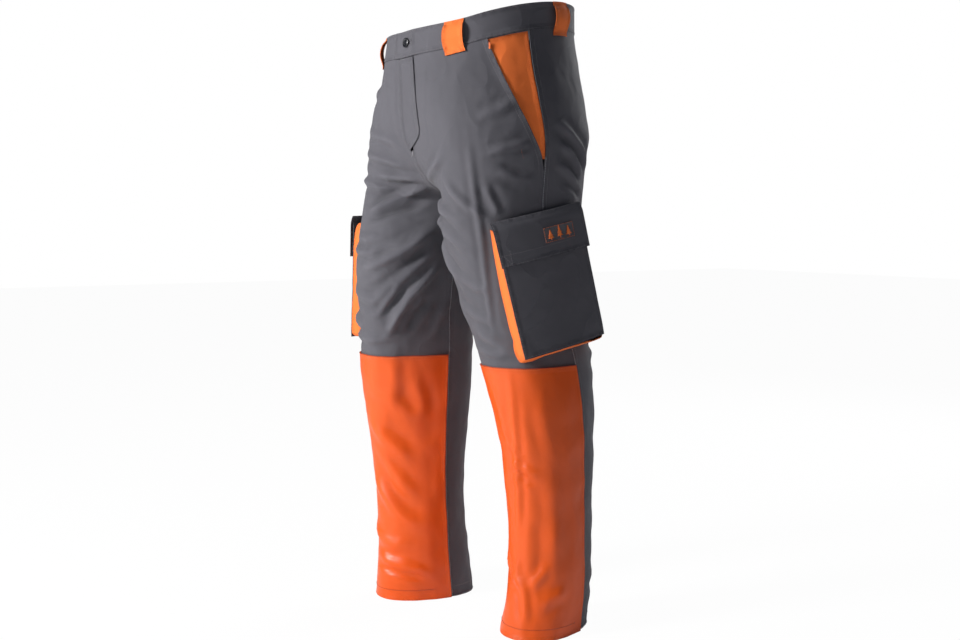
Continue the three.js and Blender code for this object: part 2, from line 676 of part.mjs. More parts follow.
// The pocket's own frame: t runs along its top edge to the back, down runs to its bottom, out leaves the leg
function cargoFrame(side) {
  const [, sign] = side;
  const origin = skin(side, 0.97, rowAt(side, 0.97, CARGO_TOP));
  const azimuth = 86 * Math.PI / 180;
  const out = new THREE.Vector3(sign * Math.sin(azimuth), -Math.cos(azimuth), 0);
  const back = new THREE.Vector3(sign * Math.cos(azimuth), Math.sin(azimuth), 0);
  const lift = new THREE.Vector3(0, 0, 1);
  const tilt = CARGO_TILT[side[0]];
  const t = back.clone().multiplyScalar(Math.cos(tilt)).addScaledVector(lift, Math.sin(tilt));
  const down = back.clone().multiplyScalar(Math.sin(tilt)).addScaledVector(lift, -Math.cos(tilt));
  origin.addScaledVector(t, CARGO_SHIFT[side[0]]);
  return { origin, t, down, out };
}

const FACE_BASE = 8;
const FACE_SAG = 9;
const FACE_TOP = 14;

// How far the pocket's face stands out of the frame's plane
function faceOut(t, down) {
  const along = t / (CARGO_WIDTH / 2);
  const depth = down / CARGO_HEIGHT;
  const fullness = CARGO_DEPTH - FACE_BASE;
  return FACE_BASE + fullness * depth * (0.72 - 0.28 * along) - FACE_SAG * along * along;
}

function placeIn(frame, t, down, out) {
  return frame.origin.clone().addScaledVector(frame.t, t).addScaledVector(frame.down, down)
    .addScaledVector(frame.out, out);
}

function cargoSheet(frame, [t0, t1, columns], [d0, d1, rows], inner, outer) {
  const across = steps(t0, t1, columns);
  const downs = steps(d0, d1, rows);
  return sheetGeometry(columns, rows, (i, j, out) =>
    placeIn(frame, across[i], downs[j], (out ? outer : inner)(across[i], downs[j])));
}

function legSolid(side) {
  const rows = rowSpan(0.3, CROTCH_ROW);
  const loop = [...steps(0, FRONT_EDGE, FRONT_EDGE), ...steps(SIDE_SEAM, BACK_EDGE, 8).slice(1, -1)];
  const columns = loop.length;
  const positions = [];
  for (const row of rows) {
    for (const column of loop) positions.push(...layer(side, column, row, GAP).toArray());
  }
  const at = (i, j) => j * columns + (i % columns);
  const index = [];
  for (let j = 0; j < rows.length - 1; j += 1) {
    for (let i = 0; i < columns; i += 1) {
      index.push(at(i, j), at(i + 1, j), at(i + 1, j + 1), at(i, j), at(i + 1, j + 1), at(i, j + 1));
    }
  }
  for (let i = 1; i < columns - 1; i += 1) {
    index.push(at(0, 0), at(i + 1, 0), at(i, 0));
    index.push(at(0, rows.length - 1), at(i, rows.length - 1), at(i + 1, rows.length - 1));
  }
  return toSolid(closedGeometry(positions, index));
}

function gussetGeometry(side, frame) {
  const half = CARGO_WIDTH / 2 - 0.5;
  const end = CARGO_HEIGHT - 0.5;
  const corners = 4;
  const radius = 12;
  const path = [[-half, FACE_TOP], [-half, end / 2], [-half, end - radius]];
  for (let k = 1; k <= corners; k += 1) {
    const angle = RIGHT_ANGLE * k / corners;
    path.push([-half + radius - radius * Math.cos(angle), end - radius + radius * Math.sin(angle)]);
  }
  path.push([-half / 3, end], [half / 3, end], [half - radius, end]);
  for (let k = 1; k <= corners; k += 1) {
    const angle = RIGHT_ANGLE * k / corners;
    path.push([half - radius + radius * Math.sin(angle), end - radius + radius * Math.cos(angle)]);
  }
  path.push([half, end / 2], [half, FACE_TOP]);
  const line = new THREE.CatmullRomCurve3(path.map(([t, d]) => new THREE.Vector3(t, d, 0)), false,
    'catmullrom', 0);
  const last = path.length - 1;
  const ribbon = sheetGeometry(last, 1, (i, j, out) => {
    const [t, d] = path[i];
    const along = line.getTangent(i / last);
    const inset = out ? 0 : CLOTH;
    const place = [t + along.y * inset, d - along.x * inset];
    const reach = j === 0 ? -70 : faceOut(place[0], place[1]) - CLOTH - GAP;
    return placeIn(frame, place[0], place[1], reach);
  });
  return fromSolid(toSolid(ribbon).subtract(legSolid(side)));
}

function addCargoPocket(side) {
  const [name] = side;
  const frame = cargoFrame(side);
  const half = CARGO_WIDTH / 2;
  const face = (extra) => (t, down) => faceOut(t, down) + extra;
  addNode(`${name}_cargo_face`, cargoSheet(frame, [-half, half, 8], [FACE_TOP, CARGO_HEIGHT, 8],
    face(-CLOTH), face(0)), GREY_TWILL);
  addNode(`${name}_cargo_gusset`, gussetGeometry(side, frame), ORANGE_TWILL);

  const tapeThick = 1;
  const loopIn = GAP;
  const hookIn = loopIn + tapeThick + GAP;
  const flapIn = hookIn + tapeThick + GAP;
  const tapeSpan = [-TAPE_WIDTH / 2, TAPE_WIDTH / 2, 4];
  const tapeDrop = [FLAP_HEIGHT - 14 - TAPE_HEIGHT, FLAP_HEIGHT - 14, 1];
  addNode(`${name}_loop_tape`, cargoSheet(frame, tapeSpan, tapeDrop, face(loopIn),
    face(loopIn + tapeThick)), TAPE_NYLON);
  addNode(`${name}_hook_tape`, cargoSheet(frame, tapeSpan, tapeDrop, face(hookIn),
    face(hookIn + tapeThick)), TAPE_NYLON);

  const flapOut = (extra) => (t, down) => {
    const sag = FACE_SAG * (t / half) ** 2;
    return lerp(GAP + 0.6 - sag, faceOut(t, Math.max(down, FACE_TOP - 8)) + flapIn,
      smooth(down, -6, 12)) + extra;
  };
  addNode(`${name}_cargo_flap`, cargoSheet(frame, [-FLAP_WIDTH / 2, FLAP_WIDTH / 2, 8],
    [0.5, FLAP_HEIGHT, 7], flapOut(0), flapOut(CLOTH)), GREY_TWILL);
  if (name === 'left') {
    addNode('left_flap_badge', cargoSheet(frame, [-2, 60, 4], [FLAP_HEIGHT - 50, FLAP_HEIGHT - 24, 2],
      flapOut(CLOTH + GAP), flapOut(CLOTH + GAP + 0.6)), ORANGE_TWILL);
  }
}

// ---- Rear pocket on the right seat ----

function addRearPocket() {
  const rows = HIP_ROWS.slice(2, 8);
  addNode('right_rear_pocket', skinLayer(RIGHT, columnSpan(SIDE_SEAM + 3, BACK_EDGE - 2), rows, GAP,
    GAP + CLOTH), GREY_TWILL);
}

for (const side of SIDES) {
  addBodyPanels(side);
  addShinPanel(side);
  addInsert(side);
  addLining(side);
  addHipPocket(side);
  addCargoPocket(side);
}
addWaistband();
addButton();
addBeltLoops();
addFly();
addFlyFlap();
addRearPocket();

const footprint = new THREE.Box3().setFromObject(trousers).getCenter(new THREE.Vector3());
for (const child of trousers.children) child.position.sub(new THREE.Vector3(footprint.x, footprint.y, 0));

export default trousers;
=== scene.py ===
"""Chainsaw work trousers: folded cloth panels, orange coated shins, pockets, loops and stitching."""
import json
import math

import bmesh
import bpy
import numpy as np
from mathutils import Matrix, Vector, noise
from mathutils.bvhtree import BVHTree
from mathutils.kdtree import KDTree


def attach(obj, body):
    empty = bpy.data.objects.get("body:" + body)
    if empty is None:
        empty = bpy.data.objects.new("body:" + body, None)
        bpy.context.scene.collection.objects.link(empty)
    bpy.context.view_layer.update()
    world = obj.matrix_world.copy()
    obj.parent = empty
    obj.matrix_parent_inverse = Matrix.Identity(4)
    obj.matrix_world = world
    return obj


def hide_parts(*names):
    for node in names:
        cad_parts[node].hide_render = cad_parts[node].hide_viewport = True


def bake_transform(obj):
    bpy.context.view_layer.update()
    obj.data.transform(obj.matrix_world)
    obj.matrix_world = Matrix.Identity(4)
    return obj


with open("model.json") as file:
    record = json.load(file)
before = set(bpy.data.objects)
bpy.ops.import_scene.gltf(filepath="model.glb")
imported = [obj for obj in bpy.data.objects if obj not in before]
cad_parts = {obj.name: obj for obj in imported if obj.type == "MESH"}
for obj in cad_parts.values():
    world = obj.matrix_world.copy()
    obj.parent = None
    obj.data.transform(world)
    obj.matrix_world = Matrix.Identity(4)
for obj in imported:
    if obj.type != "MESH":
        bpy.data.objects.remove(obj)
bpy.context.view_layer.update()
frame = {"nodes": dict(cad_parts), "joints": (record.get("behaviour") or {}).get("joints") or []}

nodes = frame["nodes"]

# Thickness of the cloths, in metres
CLOTH = 0.0012
COATED_CLOTH = 0.0014
LINING_CLOTH = 0.0006
BADGE_CLOTH = 0.0006
TAPE_CLOTH = 0.0010
ZIP_TAPE_CLOTH = 0.0008
PAD = 0.0040

STITCH_LENGTH = 0.0026
STITCH_GAP = 0.0014
THREAD = 0.00036
THICK_THREAD = 0.0005
COARSE_THREAD = 0.0006

SIDES = (("left", 1), ("right", -1))

# Edges sharper than this part the faces of a cloth layer; triangles flatter than the next join into quads
SEAM_ANGLE = math.radians(58)
JOIN_ANGLE = math.radians(40)
SHARP_ANGLE = math.radians(60)

# Each leg's centre line as height, x and y, from the hem to the waist
LEG_LINES = {
    "left": [(0.0, 0.150, 0.062), (0.65, 0.114, 0.023), (0.80, 0.10, 0.01), (1.10, 0.06, 0.0)],
    "right": [(0.0, -0.150, -0.032), (0.65, -0.115, -0.053), (0.80, -0.10, -0.02), (1.10, -0.06, 0.0)],
    "waist": [(0.0, 0.0, 0.0), (1.10, 0.0, 0.0)],
}


def leg_of(name):
    first = name.split("_")[0]
    return first if first in ("left", "right") else "waist"


def leg_centre(leg, height):
    """The x and y of a leg's centre line at a height, or at many heights."""
    heights, xs, ys = np.array(LEG_LINES[leg]).T
    return np.stack([np.interp(height, heights, xs), np.interp(height, heights, ys)], -1)


def tree_of(mesh):
    """A tree for finding the nearest spot on a mesh."""
    return BVHTree.FromPolygons([v.co for v in mesh.vertices], [list(p.vertices) for p in mesh.polygons])


# ---- Cutting the cloth pieces from the frame ----

def islands_of(sheet):
    """The groups of faces that hang together."""
    seen, islands = set(), []
    for start in sheet.faces:
        if start in seen:
            continue
        island, queue = [], [start]
        seen.add(start)
        while queue:
            face = queue.pop()
            island.append(face)
            for edge in face.edges:
                for other in edge.link_faces:
                    if other not in seen:
                        seen.add(other)
                        queue.append(other)
        islands.append(island)
    return islands


def outwardness(island, leg):
    """How far a group of faces looks away from the leg's centre line: 1 is outwards and -1 inwards."""
    area = outward = 0.0
    for face in island:
        middle = face.calc_center_median()
        x, y = leg_centre(leg, middle.z)
        away = Vector((middle.x - x, middle.y - y, 0)).normalized()
        outward += face.normal.dot(away) * face.calc_area()
        area += face.calc_area()
    return outward / max(area, 1e-12)


def cut_piece(node, leg):
    """The outer face of one cloth layer of the frame, as an open sheet."""
    sheet = bmesh.new()
    sheet.from_mesh(nodes[node].data)
    bmesh.ops.remove_doubles(sheet, verts=sheet.verts, dist=2e-5)
    sharp = [e for e in sheet.edges if not e.is_manifold or e.calc_face_angle(0) > SEAM_ANGLE]
    bmesh.ops.split_edges(sheet, edges=sharp)
    sheet.faces.ensure_lookup_table()
    islands = [(island, sum(f.calc_area() for f in island)) for island in islands_of(sheet)]
    largest = max(area for _, area in islands)
    broad = [(island, area) for island, area in islands if area > 0.3 * largest]
    outer = max(broad, key=lambda i: outwardness(i[0], leg) + 0.2 * i[1] / largest)[0]
    kept = set(outer)
    bmesh.ops.delete(sheet, geom=[f for f in sheet.faces if f not in kept], context="FACES")
    bmesh.ops.join_triangles(sheet, faces=sheet.faces, angle_face_threshold=JOIN_ANGLE,
                             angle_shape_threshold=JOIN_ANGLE)
    return sheet


def evaluated(obj):
    """Applies the object's modifiers to its mesh."""
    bpy.context.view_layer.update()
    graph = bpy.context.evaluated_depsgraph_get()
    mesh = bpy.data.meshes.new_from_object(obj.evaluated_get(graph), depsgraph=graph)
    obj.modifiers.clear()
    obj.data = mesh
    return obj


def new_object(name, shape):
    """An object at the origin, made of a finished bmesh."""
    mesh = bpy.data.meshes.new(name)
    shape.to_mesh(mesh)
    shape.free()
    obj = bpy.data.objects.new(name, mesh)
    bpy.context.scene.collection.objects.link(obj)
    return obj


def smooth_sheets(names, rounds, weld=0.0):
    """Cuts several pieces, joins them along their seams and smooths them as one cloth."""
    whole = bmesh.new()
    for index, node in enumerate(names):
        sheet = cut_piece(node, leg_of(node))
        for face in sheet.faces:
            face.material_index = index
        mesh = bpy.data.meshes.new("cut")
        sheet.to_mesh(mesh)
        sheet.free()
        whole.from_mesh(mesh)
        bpy.data.meshes.remove(mesh)
    if weld:
        bmesh.ops.remove_doubles(whole, verts=whole.verts, dist=weld)
    obj = new_object("cloth", whole)
    for index in range(len(names)):
        obj.data.materials.append(None)
    finer = obj.modifiers.new("finer", "SUBSURF")
    finer.levels = finer.render_levels = rounds
    finer.boundary_smooth = "PRESERVE_CORNERS"
    return evaluated(obj)


# ---- Folds ----

def on_leg(leg, azimuth, height):
    """The point of the outer cloth at an azimuth round the leg (0 is forward, 90 is the wearer's left)."""
    x, y = leg_centre(leg, height)
    angle = math.radians(azimuth)
    away = Vector((math.sin(angle), -math.cos(angle), 0))
    start = Vector((x, y, height)) + away * 0.35
    hit = leg_skins[leg].ray_cast(start, -away)[0]
    return hit if hit is not None else Vector((x, y, height)) + away * 0.09


def skin_tree(names):
    """One tree of several pieces of the frame, for finding the outer cloth of a leg."""
    points, faces = [], []
    for node in names:
        mesh = nodes[node].data
        base = len(points)
        points += [v.co.copy() for v in mesh.vertices]
        faces += [[base + i for i in p.vertices] for p in mesh.polygons]
    return BVHTree.FromPolygons(points, faces)


OUTER_PIECES = ("front_panel", "back_panel", "shin_panel", "pocket_facing")
leg_skins = {leg: skin_tree([f"{leg}_{piece}" for piece in OUTER_PIECES]) for leg, _ in SIDES}

# Each fold: leg, points as azimuth and height, half width and lift, all in degrees and metres.
# A negative lift is a valley. The factors below set how wide and how deep they all are.
FOLDS = [
    # drag lines from the crotch over the right thigh
    ("right", [(-6, 0.812), (10, 0.808), (28, 0.806), (50, 0.800)], 0.008, 0.0042),
    ("right", [(-8, 0.742), (4, 0.752), (26, 0.775), (50, 0.793)], 0.009, 0.0050),
    ("right", [(-2, 0.735), (10, 0.738), (34, 0.752), (58, 0.775)], 0.007, -0.0030),
    ("right", [(-4, 0.640), (10, 0.645), (26, 0.655), (48, 0.685), (66, 0.715)], 0.010, 0.0055),
    ("right", [(0, 0.600), (22, 0.612), (46, 0.645), (70, 0.690)], 0.008, -0.0035),
    ("right", [(22, 0.515), (36, 0.560), (50, 0.595), (68, 0.625), (84, 0.660)], 0.009, 0.0055),
    ("right", [(40, 0.520), (56, 0.560), (74, 0.592)], 0.008, -0.0045),
    ("right", [(24, 0.522), (36, 0.552), (48, 0.582)], 0.006, 0.0030),
    ("right", [(74, 0.512), (84, 0.545), (96, 0.585)], 0.009, 0.0040),
    ("right", [(-20, 0.700), (0, 0.695), (20, 0.700)], 0.008, 0.0022),
    ("right", [(-60, 0.560), (-30, 0.545), (-5, 0.525)], 0.010, 0.0040),
    ("right", [(-50, 0.520), (-25, 0.512), (5, 0.507), (25, 0.510)], 0.008, 0.0030),
    # the left thigh: ironed crease and folds from the crotch
    ("left", [(30, 0.880), (29, 0.80), (28, 0.70), (24, 0.60), (23, 0.50)], 0.006, 0.0022),
    ("left", [(-42, 0.780), (-20, 0.762), (0, 0.742), (14, 0.725)], 0.008, 0.0046),
    ("left", [(-48, 0.755), (-25, 0.725), (0, 0.700), (18, 0.675)], 0.009, 0.0048),
    ("left", [(-55, 0.730), (-32, 0.685), (-12, 0.640), (2, 0.600)], 0.009, 0.0045),
    ("left", [(-60, 0.700), (-45, 0.640), (-35, 0.580), (-28, 0.530)], 0.009, 0.0040),
    ("left", [(-46, 0.742), (-18, 0.712), (6, 0.688)], 0.006, -0.0032),
    ("left", [(-38, 0.800), (-20, 0.808), (-4, 0.822), (10, 0.845)], 0.008, 0.0030),
    ("left", [(0, 0.540), (18, 0.525), (34, 0.512), (50, 0.508)], 0.009, 0.0035),
    ("left", [(-20, 0.512), (0, 0.504), (26, 0.500), (60, 0.503), (85, 0.508)], 0.007, 0.0028),
    ("left", [(60, 0.520), (78, 0.530), (95, 0.535)], 0.008, 0.0026),
    # drag lines over the hips and below the band
    ("right", [(-30, 0.900), (-8, 0.885), (14, 0.872), (30, 0.850)], 0.007, 0.0024),
    ("right", [(-40, 0.860), (-14, 0.848), (10, 0.836), (34, 0.818)], 0.007, 0.0030),
    ("right", [(-46, 0.812), (-22, 0.802), (0, 0.790), (22, 0.785)], 0.007, 0.0028),
    ("right", [(-50, 0.985), (-30, 0.970), (-6, 0.950)], 0.009, 0.0020),
    ("right", [(-34, 0.690), (-12, 0.672), (10, 0.668), (36, 0.690), (54, 0.715)], 0.007, 0.0034),
    ("right", [(-28, 0.610), (-8, 0.588), (14, 0.580), (34, 0.600)], 0.008, 0.0032),
    ("right", [(6, 0.548), (18, 0.560), (30, 0.585), (44, 0.620)], 0.006, 0.0028),
    ("left", [(44, 0.812), (60, 0.800), (78, 0.796)], 0.008, 0.0026),
    ("left", [(40, 0.842), (58, 0.850), (76, 0.862)], 0.007, 0.0020),
    ("left", [(36, 0.900), (52, 0.912), (66, 0.930)], 0.009, 0.0020),
    ("left", [(96, 0.900), (112, 0.880), (132, 0.850), (146, 0.812)], 0.009, 0.0036),
    ("left", [(100, 0.862), (118, 0.842), (138, 0.806)], 0.008, 0.0034),
    ("left", [(98, 0.826), (114, 0.812), (130, 0.788)], 0.007, 0.0030),
    ("left", [(100, 0.800), (118, 0.792), (140, 0.770)], 0.007, -0.0026),
    ("left", [(36, 0.792), (40, 0.760), (44, 0.735)], 0.007, 0.0026),
    ("left", [(4, 0.800), (14, 0.772), (24, 0.750), (36, 0.735)], 0.007, 0.0030),
    ("left", [(-8, 0.640), (4, 0.622), (18, 0.612), (30, 0.610)], 0.007, 0.0026),
    ("left", [(-24, 0.590), (-6, 0.572), (14, 0.560), (30, 0.556)], 0.007, 0.0026),
    # the left shin: vertical crease with puckers at mid height and a V at the ankle
    ("left", [(36, 0.470), (35, 0.400), (34, 0.350), (31, 0.310), (28, 0.240), (20, 0.160)], 0.007, 0.0042),
    ("left", [(22, 0.345), (34, 0.330), (44, 0.322)], 0.006, 0.0034),
    ("left", [(20, 0.315), (32, 0.308), (48, 0.295), (60, 0.290)], 0.006, 0.0042),
    ("left", [(18, 0.285), (32, 0.278), (50, 0.262)], 0.006, 0.0034),
    ("left", [(26, 0.332), (40, 0.318), (52, 0.312)], 0.005, -0.0028),
    ("left", [(24, 0.298), (40, 0.288), (54, 0.276)], 0.005, -0.0028),
    ("left", [(16, 0.150), (18, 0.110), (28, 0.085), (30, 0.050), (27, 0.020)], 0.008, 0.0052),
    ("left", [(-14, 0.150), (0, 0.120), (16, 0.098), (26, 0.086)], 0.008, 0.0046),
    ("left", [(60, 0.130), (46, 0.108), (34, 0.092)], 0.008, 0.0042),
    ("left", [(44, 0.060), (60, 0.072), (84, 0.085)], 0.010, 0.0036),
    ("left", [(70, 0.300), (74, 0.200), (72, 0.120)], 0.014, 0.0030),
    ("left", [(52, 0.420), (58, 0.350), (60, 0.300)], 0.012, -0.0026),
    ("left", [(52, 0.220), (50, 0.150), (48, 0.100)], 0.013, -0.0036),
    ("left", [(0, 0.450), (8, 0.380), (12, 0.320)], 0.012, -0.0024),
    # the right shin: big soft diagonals and a roll above the hem
    ("right", [(-6, 0.420), (14, 0.392), (34, 0.366), (60, 0.350)], 0.014, 0.0046),
    ("right", [(-20, 0.360), (0, 0.318), (24, 0.286), (50, 0.270)], 0.013, 0.0054),
    ("right", [(-10, 0.300), (10, 0.255), (32, 0.222), (58, 0.205)], 0.012, 0.0050),
    ("right", [(-30, 0.250), (-5, 0.202), (20, 0.168), (48, 0.150), (70, 0.150)], 0.012, 0.0056),
    ("right", [(4, 0.352), (26, 0.322), (50, 0.308)], 0.012, -0.0042),
    ("right", [(-6, 0.238), (20, 0.200), (46, 0.180)], 0.010, -0.0042),
    ("right", [(-40, 0.150), (-12, 0.120), (14, 0.108), (44, 0.112)], 0.010, 0.0048),
    ("right", [(-20, 0.088), (6, 0.076), (28, 0.070), (52, 0.062), (74, 0.050)], 0.008, 0.0058),
    ("right", [(-16, 0.068), (10, 0.056), (30, 0.050), (54, 0.043)], 0.005, -0.0034),
    ("right", [(44, 0.440), (56, 0.400), (66, 0.350)], 0.012, 0.0034),
    ("right", [(24, 0.480), (22, 0.430), (16, 0.380)], 0.012, 0.0030),
    # the outer side of the right leg
    ("right", [(-80, 0.300), (-60, 0.270), (-36, 0.262)], 0.014, 0.0046),
    ("right", [(-90, 0.200), (-66, 0.172), (-40, 0.170)], 0.013, 0.0044),
    ("right", [(-84, 0.420), (-60, 0.400), (-30, 0.402)], 0.014, 0.0036),
]
# The back of both legs, the same on each side: the seat, the back of the knee and the ankle.
# Azimuths are those of the left leg.
BACK_FOLDS = [
    ([(196, 0.800), (180, 0.765), (160, 0.735)], 0.010, 0.0046),
    ([(205, 0.768), (185, 0.725), (160, 0.690), (140, 0.670)], 0.010, 0.0050),
    ([(204, 0.730), (186, 0.672), (165, 0.630)], 0.010, 0.0040),
    ([(214, 0.560), (190, 0.530), (165, 0.522), (135, 0.535)], 0.010, 0.0052),
    ([(206, 0.500), (182, 0.488), (150, 0.492)], 0.009, 0.0046),
    ([(198, 0.470), (170, 0.452), (140, 0.458)], 0.009, 0.0038),
    ([(196, 0.512), (170, 0.505), (146, 0.512)], 0.006, -0.0036),
    ([(150, 0.400), (170, 0.350), (190, 0.290)], 0.013, 0.0038),
    ([(205, 0.250), (180, 0.200), (150, 0.170)], 0.013, 0.0042),
    ([(215, 0.130), (188, 0.100), (155, 0.092), (125, 0.098)], 0.010, 0.0050),
    ([(200, 0.070), (175, 0.055), (145, 0.050)], 0.009, 0.0042),
    ([(132, 0.860), (150, 0.880), (172, 0.905)], 0.012, 0.0026),
    ([(250, 0.700), (262, 0.640), (268, 0.560)], 0.010, 0.0036),
    ([(246, 0.430), (262, 0.360), (256, 0.290)], 0.012, 0.0036),
]
FRONT_WIDER, FRONT_DEEPER = 0.92, 1.7
BACK_WIDER, BACK_DEEPER = 1.2, 0.75

fold_lines = []
for leg, points, width, lift in FOLDS:
    fold_lines.append(([on_leg(leg, a, z) for a, z in points], width * FRONT_WIDER, lift * FRONT_DEEPER))
for leg, turn in SIDES:
    for points, width, lift in BACK_FOLDS:
        fold_lines.append(([on_leg(leg, turn * a, z) for a, z in points], width * BACK_WIDER,
                           lift * BACK_DEEPER))

# The bellows pockets keep their own shape, so the folds fade out round them: centre and radii
POCKET_ZONES = [(Vector((0.214, 0.013, 0.655)), 0.105, 0.17), (Vector((-0.213, -0.05, 0.65)), 0.105, 0.17)]


def smooth_step(share):
    """0 to 1 with soft ends, from a share that is cut off at both."""
    share = np.clip(share, 0, 1)
    return share * share * (3 - 2 * share)


def one_fold(points, line, width, height):
    """The lift of each point by one fold: a ridge with a shallow valley on both sides, fading at its ends."""
    steps = np.linalg.norm(np.diff(line, axis=0), axis=1)
    best = np.full(len(points), 1e9)
    share = np.zeros(len(points))
    done = 0.0
    for start, end, step in zip(line[:-1], line[1:], steps):
        way = (end - start) / max(step, 1e-9)
        t = np.clip((points - start) @ way, 0, step)
        apart = np.linalg.norm(points - start - t[:, None] * way, axis=1)
        closer = apart < best
        best[closer] = apart[closer]
        share[closer] = (done + t[closer]) / steps.sum()
        done += step
    taper = 0.12 + 0.88 * smooth_step(np.minimum(share, 1 - share) / 0.28)
    ridge = np.exp(-(best / width) ** 2)
    valleys = 0.42 * np.exp(-((best - 1.9 * width) / (0.9 * width)) ** 2)
    return height * taper * (ridge - valleys)


def small_waves(point):
    """The soft unevenness of worn cloth: broad, middling and fine."""
    x, y, z = point
    broad = noise.noise(Vector((x * 9, y * 9, z * 6))) * 0.0030
    middling = noise.noise(Vector((x * 26 + z * 9, y * 26, z * 17))) * 0.0019
    fine = noise.noise(Vector((x * 70, y * 70, z * 55))) * 0.0006
    return broad + middling + fine


def fold_lift(points):
    """How far the folds and the small waves of the cloth lift each point."""
    lift = np.zeros(len(points))
    for line, width, height in fold_lines:
        line = np.array([list(p) for p in line])
        low, high = line.min(0) - 4 * width, line.max(0) + 4 * width
        inside = np.where(np.all((points > low) & (points < high), axis=1))[0]
        if len(inside):
            lift[inside] += one_fold(points[inside], line, width, height)
    # the coated cloth of the shins is stiff, so its folds are shallow
    lift *= 1 - 0.5 * np.clip((0.50 - points[:, 2]) / 0.06, 0, 1)
    lift += np.array([small_waves(p) for p in points])
    for centre, across, tall in POCKET_ZONES:
        apart = (points - np.array(centre)) / np.array([across, across, tall])
        lift *= smooth_step((np.linalg.norm(apart, axis=1) - 0.75) / 0.35)
    # the band and the fly lie flat
    lift *= np.clip((1.062 - points[:, 2]) / 0.05, 0, 1)
    front = (np.abs(points[:, 0] - 0.02) < 0.05) & (points[:, 1] < -0.08) & (points[:, 2] > 0.84)
    lift[front] *= 0.25
    return lift


def read_points(mesh):
    """The mesh's vertices and their normals, a row for each."""
    places = np.empty(len(mesh.vertices) * 3)
    mesh.vertices.foreach_get("co", places)
    normals = np.empty(len(mesh.vertices) * 3)
    mesh.vertex_normals.foreach_get("vector", normals)
    return places.reshape(-1, 3), normals.reshape(-1, 3)


def lift_cloth(mesh, extra=0.0, folds=1.0):
    """Moves the points of a sheet out along their normals, and keeps the lift as an attribute."""
    points, normals = read_points(mesh)
    lift = fold_lift(points) * folds
    moved = points + normals * (lift + extra)[:, None]
    moved[:, 2] = np.maximum(moved[:, 2], 0.0)
    mesh.vertices.foreach_set("co", moved.ravel())
    # the kept lift also drives the painted light and painted shade of the folds in the cloth colour
    kept = mesh.attributes.new("fold", "FLOAT", "POINT")
    kept.data.foreach_set("value", lift.astype(np.float32))
    mesh.update()


# ---- Materials ----

def node_group(name, inputs, outputs):
    """An empty shader node group with its sockets."""
    group = bpy.data.node_groups.new(name, "ShaderNodeTree")
    for label, kind, value in inputs:
        socket = group.interface.new_socket(label, in_out="INPUT", socket_type=kind)
        socket.default_value = value
    for label, kind in outputs:
        group.interface.new_socket(label, in_out="OUTPUT", socket_type=kind)
    return group, group.nodes.new("NodeGroupInput"), group.nodes.new("NodeGroupOutput")


def add(tree, kind, **settings):
    """A new node, with each setting given to the socket or the property of that name."""
    node = tree.nodes.new(kind)
    for key, value in settings.items():
        if key in node.inputs:
            node.inputs[key].default_value = value
        else:
            setattr(node, key, value)
    return node


def maths(tree, operation, first, second=None):
    """The result of a sum on numbers or sockets."""
    node = add(tree, "ShaderNodeMath", operation=operation)
    for socket, value in zip(node.inputs, (first, second)):
        if isinstance(value, (int, float)):
            socket.default_value = value
        elif value is not None:
            tree.links.new(value, socket)
    return node.outputs[0]


def spread(tree, value, amount, least):
    """A value from 0 to 1, brought to the range from least to least + amount."""
    return maths(tree, "ADD", maths(tree, "MULTIPLY", value, amount), least)


def attribute(tree, name):
    """A number kept on the mesh's points."""
    return add(tree, "ShaderNodeAttribute", attribute_name=name).outputs["Fac"]


def on_object(tree, *textures):
    """Lays textures in the object's own coordinates."""
    place = tree.nodes.new("ShaderNodeTexCoord")
    for texture in textures:
        tree.links.new(place.outputs["Object"], texture.inputs["Vector"])


def bump(tree, height, strength, distance, under=None):
    """A bumped normal, on top of another one if it is given."""
    node = add(tree, "ShaderNodeBump", Strength=strength, Distance=distance)
    tree.links.new(height, node.inputs["Height"])
    if under is not None:
        tree.links.new(under, node.inputs["Normal"])
    return node.outputs["Normal"]


def shaded(tree, colour, amount):
    """A plain colour made lighter and darker by an amount."""
    tint = add(tree, "ShaderNodeVectorMath", operation="SCALE")
    tint.inputs[0].default_value = colour
    tree.links.new(amount, tint.inputs["Scale"])
    return tint.outputs[0]


def weave_group():
    """Diagonal twill ribs crossed by single threads, from the cut's own plane coordinates in metres."""
    group, given, out = node_group("twill weave", [
        ("Pitch", "NodeSocketFloat", 0.0009),
        ("Slubs", "NodeSocketFloat", 0.4),
    ], [("Height", "NodeSocketFloat"), ("Tone", "NodeSocketFloat")])
    plane = add(group, "ShaderNodeUVMap", uv_map="cut")
    parts = group.nodes.new("ShaderNodeSeparateXYZ")
    group.links.new(plane.outputs[0], parts.inputs[0])
    turn = maths(group, "DIVIDE", 2 * math.pi, given.outputs["Pitch"])
    slub = add(group, "ShaderNodeTexNoise", Scale=90.0, Detail=3.0)
    group.links.new(plane.outputs[0], slub.inputs["Vector"])
    drift = maths(group, "MULTIPLY", slub.outputs["Fac"], given.outputs["Slubs"])
    drift = maths(group, "MULTIPLY", drift, 8.0)
    diagonal = maths(group, "ADD", parts.outputs["X"], maths(group, "MULTIPLY", parts.outputs["Y"], 0.6))
    rib = maths(group, "SINE", maths(group, "ADD", maths(group, "MULTIPLY", diagonal, turn), drift))
    across = maths(group, "SUBTRACT", maths(group, "MULTIPLY", parts.outputs["X"], 0.5), parts.outputs["Y"])
    thread = maths(group, "SINE", maths(group, "ADD", maths(group, "MULTIPLY", across, turn), drift))
    mixed = maths(group, "ADD", maths(group, "MULTIPLY", rib, 0.35), maths(group, "MULTIPLY", thread, 0.15))
    height = maths(group, "ADD", mixed, 0.5)
    group.links.new(height, out.inputs["Height"])
    group.links.new(spread(group, height, 0.16, 0.92), out.inputs["Tone"])
    return group


